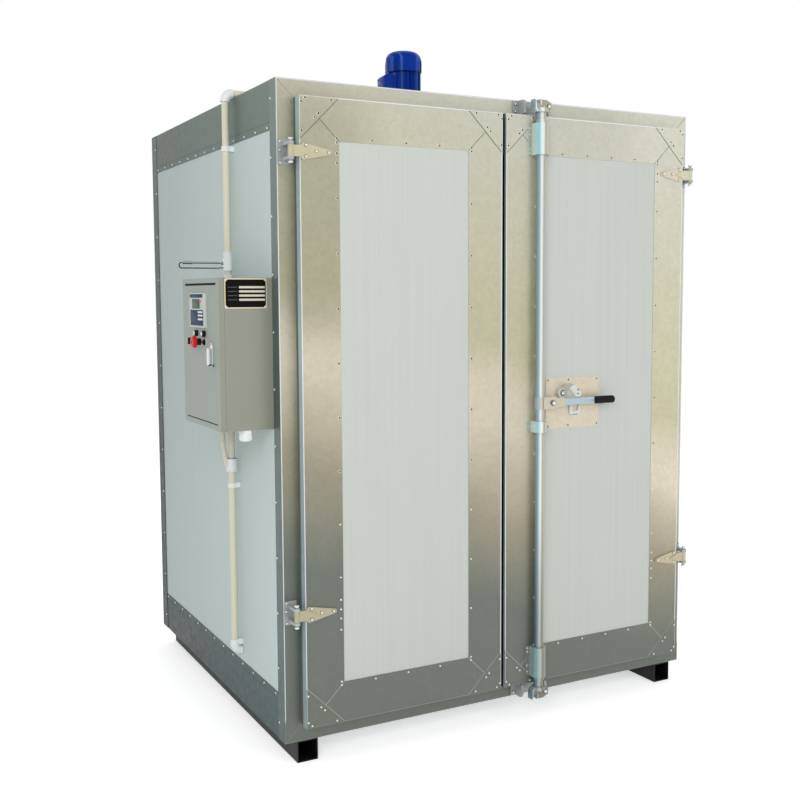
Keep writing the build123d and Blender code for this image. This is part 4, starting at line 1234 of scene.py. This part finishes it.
class OVEN_OT_handle_plate(bpy.types.Operator):
    """Rivets of the handle's plate, and the pivot, rivets and holes of its padlock hasp"""

    bl_idname = "oven.handle_plate"
    bl_label = "Handle plate"

    def execute(self, context):
        low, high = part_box("handle_plate")
        side_inset, foot_inset, top_inset, middle_inset = 9 * mm, 9 * mm, 8 * mm, 100 * mm
        rivets = [
            (Vector((x, low.y, z)), front, x) for z in (low.z + foot_inset, high.z - top_inset)
            for x in (low.x + side_inset, low.x + middle_inset, high.x - side_inset)
        ]
        keep(copies(rivet_head(), rivets), "handle_plate_rivets", "right_door")

        catch_low, catch_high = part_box("handle_catch")
        thick, tongue_half, rivet_rise = 5 * mm, 25 * mm, 11 * mm
        hasp_face, tongue_x = low.y - thick, catch_high.x - tongue_half
        rivets = [Vector((tongue_x + step * mm, hasp_face, catch_low.z + rivet_rise)) for step in (-9, 0, 9)]
        small = plain_head(2.2, 0.6, [(1.6, 0.4)], "rivet_pit", 10)
        keep(copies(small, set_on(rivets, front)), "hasp_rivets", "right_door")

        boss_out, boss_proud, boss_rise, hole_out = 62 * mm, 8 * mm, 38 * mm, 41 * mm
        boss = Vector((tongue_x - boss_out, hasp_face - boss_proud, centre("handle_plate").z + boss_rise))
        steps = [(9 * mm, 1 * mm), (8 * mm, 2 * mm), (5 * mm, 1.5 * mm), (1.5 * mm, 0.3 * mm)]
        # The button's outer rim is painted shade.
        button = dress(turned(11 * mm, 1.5 * mm, steps), "bolt", "bolt_shade", lambda reach: reach > 9.6 * mm)
        keep(laid(button, boss, front), "catch_pivot", "right_door")

        # The holes are dark discs: painted shade.
        holes = [Vector((boss.x + hole_out, catch_low.y, boss.z + rise * mm)) for rise in (-1, 14)]
        keep(copies(plain_head(3.2, 0.4, [], "bolt_shade", 14), set_on(holes, front)), "catch_holes", "right_door")
        return {"FINISHED"}


# Control cabinet: edges on the controller are shares of its width and height from the far top corner
fascia_fields = [
    ((0.05, 0.92, 0.035, 0.14), 0.6, "fascia", 1.5), ((0.22, 0.72, 0.18, 0.45), 0.8, "fascia", 1),
    ((0.245, 0.695, 0.20, 0.43), 1.0, "screen", 1), ((0.08, 0.94, 0.49, 0.94), 0.6, "fascia", 1.5),
    ((0.61, 0.91, 0.525, 0.58), 1.8, "key", 1.5), ((0.61, 0.91, 0.62, 0.675), 1.8, "key", 1.5),
    ((0.61, 0.91, 0.73, 0.785), 1.8, "key", 1.5),
]
fascia_lights = [(0.80, 0.24, "red_light"), (0.80, 0.40, "green_light")]


class OVEN_OT_controller(bpy.types.Operator):
    """Fields, screen, lights and keys on the temperature controller"""

    bl_idname = "oven.controller"
    bl_label = "Controller"

    def execute(self, context):
        low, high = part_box("temperature_controller")
        width, height = high.y - low.y, high.z - low.z
        pieces = []
        for (u0, u1, v0, v1), thick, finish, corner in fascia_fields:
            field = tile(width * (u1 - u0), height * (v1 - v0), thick * mm, corner * mm, thick * 0.3 * mm)
            place = Vector((low.x, high.y - width * (u0 + u1) / 2, high.z - height * (v0 + v1) / 2))
            pieces.append(dress(laid(field, place, left), finish))
        for u, v, finish in fascia_lights:
            light = plain_head(6, 0.8, [(5, 0.8), (1.5, 0.4)], finish)
            pieces.append(laid(light, Vector((low.x, high.y - u * width, high.z - v * height)), left))
        keep(joined(pieces), "controller_face", "cabinet_door")
        return {"FINISHED"}


class OVEN_OT_switches(bpy.types.Operator):
    """Lenses, rings and marks of the lamps, switches and latch"""

    bl_idname = "oven.switches"
    bl_label = "Switches"

    def execute(self, context):
        low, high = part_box("pilot_lamps")
        radius, wall = 11 * mm, high.x
        lens = plain_head(7.5, 0.6, [(6.5, 0.6), (4, 0.4), (1.5, 0.1)], "lamp_lens")
        lamps = [Vector((low.x, y, (low.z + high.z) / 2)) for y in (low.y + radius, high.y - radius)]
        keep(copies(lens, set_on(lamps, left)), "lamp_lenses", "cabinet_door")

        rings = []
        for name, size in (("push_button", 13), ("selector_switch", 14), ("emergency_stop", 15)):
            place = centre(name)
            place.x = wall
            rings.append(laid(plain_head(size, 0.8, [(size, 1.2), (size - 1.2, 0.6)], "bezel", 28), place, left))
        keep(joined(rings), "switch_rings", "cabinet_door")

        place = centre("selector_switch") + up * 2 * mm
        place.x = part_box("selector_switch")[0].x
        mark = tile(2 * mm, 15 * mm, 0.5 * mm, 0.8 * mm)
        keep(laid(mark, place, left), "selector_mark", "selector", "key")

        place = centre("emergency_stop")
        place.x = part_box("emergency_stop")[0].x
        dimple = plain_head(6, 0.3, [(5, 0.3)], "bolt_shade")
        keep(laid(dimple, place, left), "stop_dimple", "stop_button")

        low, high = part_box("cabinet_latch")
        depth_in, drop = 6 * mm, 6.5 * mm
        place = Vector((high.x - depth_in, (low.y + high.y) / 2, high.z - drop))
        steps = [(4.6 * mm, 1 * mm), (3.2 * mm, 0.0), (3.0 * mm, -0.8 * mm)]
        # The keyhole is painted shade.
        lock = dress(turned(5 * mm, 1.2 * mm, steps), "bolt", "bolt_shade", lambda reach: reach < 3.3 * mm)
        keep(laid(lock, place, left), "latch_lock", "cabinet_door")
        return {"FINISHED"}


class OVEN_OT_cabinet_details(bpy.types.Operator):
    """Vent slots in the cabinet's door and its blank rating plate"""

    bl_idname = "oven.cabinet_details"
    bl_label = "Cabinet details"

    def execute(self, context):
        door_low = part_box("cabinet_door")[0]
        low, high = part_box("cabinet_box")
        inset, margin = 20 * mm, 30 * mm
        slots = []
        for z, width in ((door_low.z + inset, 3.6 * mm), (high.z - inset, 7.5 * mm)):
            start, finish = (Vector((door_low.x, y, z)) for y in (low.y + margin, high.y - margin))
            # The vent slots are black bars: painted shade of the openings.
            slots.append(bar(start, finish, width, 0.3 * mm, left))
        keep(joined(slots), "cabinet_slots", "cabinet_door", "slot")

        low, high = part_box("rating_plate")
        size, middle = high - low, centre("rating_plate")
        middle.y = low.y
        rim, cut_corner, first_row, row_pitch, screw_in = 8 * mm, 8 * mm, 29 * mm, 13.5 * mm, 5 * mm
        border = tile(size.x, size.z, 0.5 * mm, 3 * mm)
        black = tile(size.x - rim, size.z - rim, 0.9 * mm, cut_corner, segments=1)
        pieces = [dress(laid(border, middle, front), "brass"), dress(laid(black, middle, front), "plate_black")]
        for row in range(4):
            z = high.z - first_row - row_pitch * row
            strip, label = tile(88 * mm, 7 * mm, 1.2 * mm, 1 * mm), tile(32 * mm, 2.5 * mm, 1.1 * mm)
            for piece, across, finish in ((strip, 21, "strip"), (label, -45, "plate_text")):
                pieces.append(dress(laid(piece, Vector((middle.x + across * mm, low.y, z)), front), finish))
        for x, way, z, rise in corners(low.x, high.x, low.z, high.z):
            place = Vector((x + way * screw_in, low.y - 0.5 * mm, z + rise * screw_in))
            pieces.append(laid(pan_screw(2.6 * mm), place, front))
        keep(joined(pieces), "blank_rating_plate", "root")
        return {"FINISHED"}


# Conduits
class OVEN_OT_conduit_lips(bpy.types.Operator):
    """Lips at the ends of the conduit's fittings and ribs round the gland"""

    bl_idname = "oven.conduit_lips"
    bl_label = "Conduit lips"

    def execute(self, context):
        low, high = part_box("wall_conduit")
        x, y = (low.x + high.x) / 2, (low.y + high.y) / 2
        box_low, box_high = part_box("cabinet_box")
        lip, socket, clamp, bushing = 4, 94 * mm, 30 * mm, 14 * mm
        lip_height = lip * mm
        wye_drop, wye_height, overlap = 193 * mm, 46 * mm, 1 * mm
        wye = box_low.z - wye_drop
        straight = [
            box_high.z + bushing - lip_height, box_high.z + clamp, box_high.z + socket - lip_height,
            high.z - lip_height, low.z, box_low.z - bushing,
        ]
        branched = [wye - overlap, wye + wye_height - lip_height]
        for name, radius, heights in (("conduit_lips", 17.6, straight), ("wye_lips", 21, branched)):
            ring = plain_head(radius, 0.7, [(radius, lip - 1.4), (radius - 0.7, 0.7)], "fitting", 28)
            keep(copies(ring, set_on([Vector((x, y, z)) for z in heights], up)), name, "root")

        count, reach, rib, rise = 14, 19.6 * mm, 18 * mm, 5 * mm
        foot = centre("cable_gland")
        foot.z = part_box("cable_gland")[0].z + rise
        ribs = []
        for step in range(count):
            outward = bearing(step * 2 * math.pi / count)
            start = foot + outward * reach
            ribs.append(bar(start, start + up * rib, 4 * mm, 1.8 * mm, outward))
        keep(joined(ribs), "gland_ribs", "root", "fitting")
        return {"FINISHED"}


# Fan motor
class OVEN_OT_motor_details(bpy.types.Operator):
    """Screws of the fan cover, a painted shadow under it and the lid of the terminal box"""

    bl_idname = "oven.motor_details"
    bl_label = "Motor details"

    def execute(self, context):
        screw_rise, cover_reach, box_bearing, box_reach = 11 * mm, 73.5 * mm, math.radians(172), 96.6 * mm
        axis = centre("motor_fan_cover")
        axis.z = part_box("motor_fan_cover")[0].z
        screws = []
        for angle in (220, 310, 400, 490):
            outward = bearing(math.radians(angle))
            screws.append((axis + up * screw_rise + outward * cover_reach, outward, 0.0))
        screw = plain_head(4.6, 2.4, [(4.2, 1.2), (2.6, 0.6)], "motor_shade", 14)
        keep(copies(screw, screws), "cover_screws", "root")

        outward = bearing(box_bearing)
        across = up.cross(outward)
        lid_centre = Vector((axis.x, axis.y, centre("motor_terminal_box").z)) + outward * box_reach
        lid = tile(92 * mm, 44 * mm, 2.4 * mm, corner=5 * mm, edge=0.8 * mm)
        lid = dress(laid(lid, lid_centre, outward), "motor")
        screws = [
            lid_centre + outward * 2 * mm + across * side * 40 * mm + up * rise * 16 * mm
            for side in (-1, 1) for rise in (-1, 1)
        ]
        heads = copies(plain_head(3.2, 1.6, [(2.4, 0.5)], "motor_shade", 12), set_on(screws, outward))
        keep(joined([lid, heads]), "terminal_lid", "root")

        # A dark ring just under the cover: painted shadow.
        rim = plain_head(73.4, 2.9, [], "motor_shade", 48)
        keep(laid(rim, axis - up * 3 * mm, up), "cover_shadow", "root")
        return {"FINISHED"}


class OVEN_PT_panel(bpy.types.Panel):
    """Buttons for every group of pieces"""

    bl_idname = "OVEN_PT_panel"
    bl_label = "Powder coating oven"
    bl_space_type = "VIEW_3D"
    bl_region_type = "UI"
    bl_category = "Oven"

    def draw(self, context):
        for operator in steps:
            self.layout.operator(operator.bl_idname)


steps = [
    OVEN_OT_stage, OVEN_OT_finishes, OVEN_OT_door_rivets, OVEN_OT_body_rivets, OVEN_OT_hems, OVEN_OT_seams,
    OVEN_OT_hinge_bolts, OVEN_OT_lock_gear, OVEN_OT_handle_plate, OVEN_OT_controller, OVEN_OT_switches,
    OVEN_OT_cabinet_details, OVEN_OT_conduit_lips, OVEN_OT_motor_details,
]
classes = [OvenColours, OvenSizes, *steps, OVEN_PT_panel]


def register():
    for each in classes:
        bpy.utils.register_class(each)
    bpy.types.Scene.oven_colours = PointerProperty(type=OvenColours)
    bpy.types.Scene.oven_sizes = PointerProperty(type=OvenSizes)


def unregister():
    del bpy.types.Scene.oven_colours
    del bpy.types.Scene.oven_sizes
    for each in reversed(classes):
        bpy.utils.unregister_class(each)


def main():
    register()
    for operator in steps:
        group, name = operator.bl_idname.split(".")
        getattr(getattr(bpy.ops, group), name)()
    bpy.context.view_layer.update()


if __name__ == "__main__":
    main()
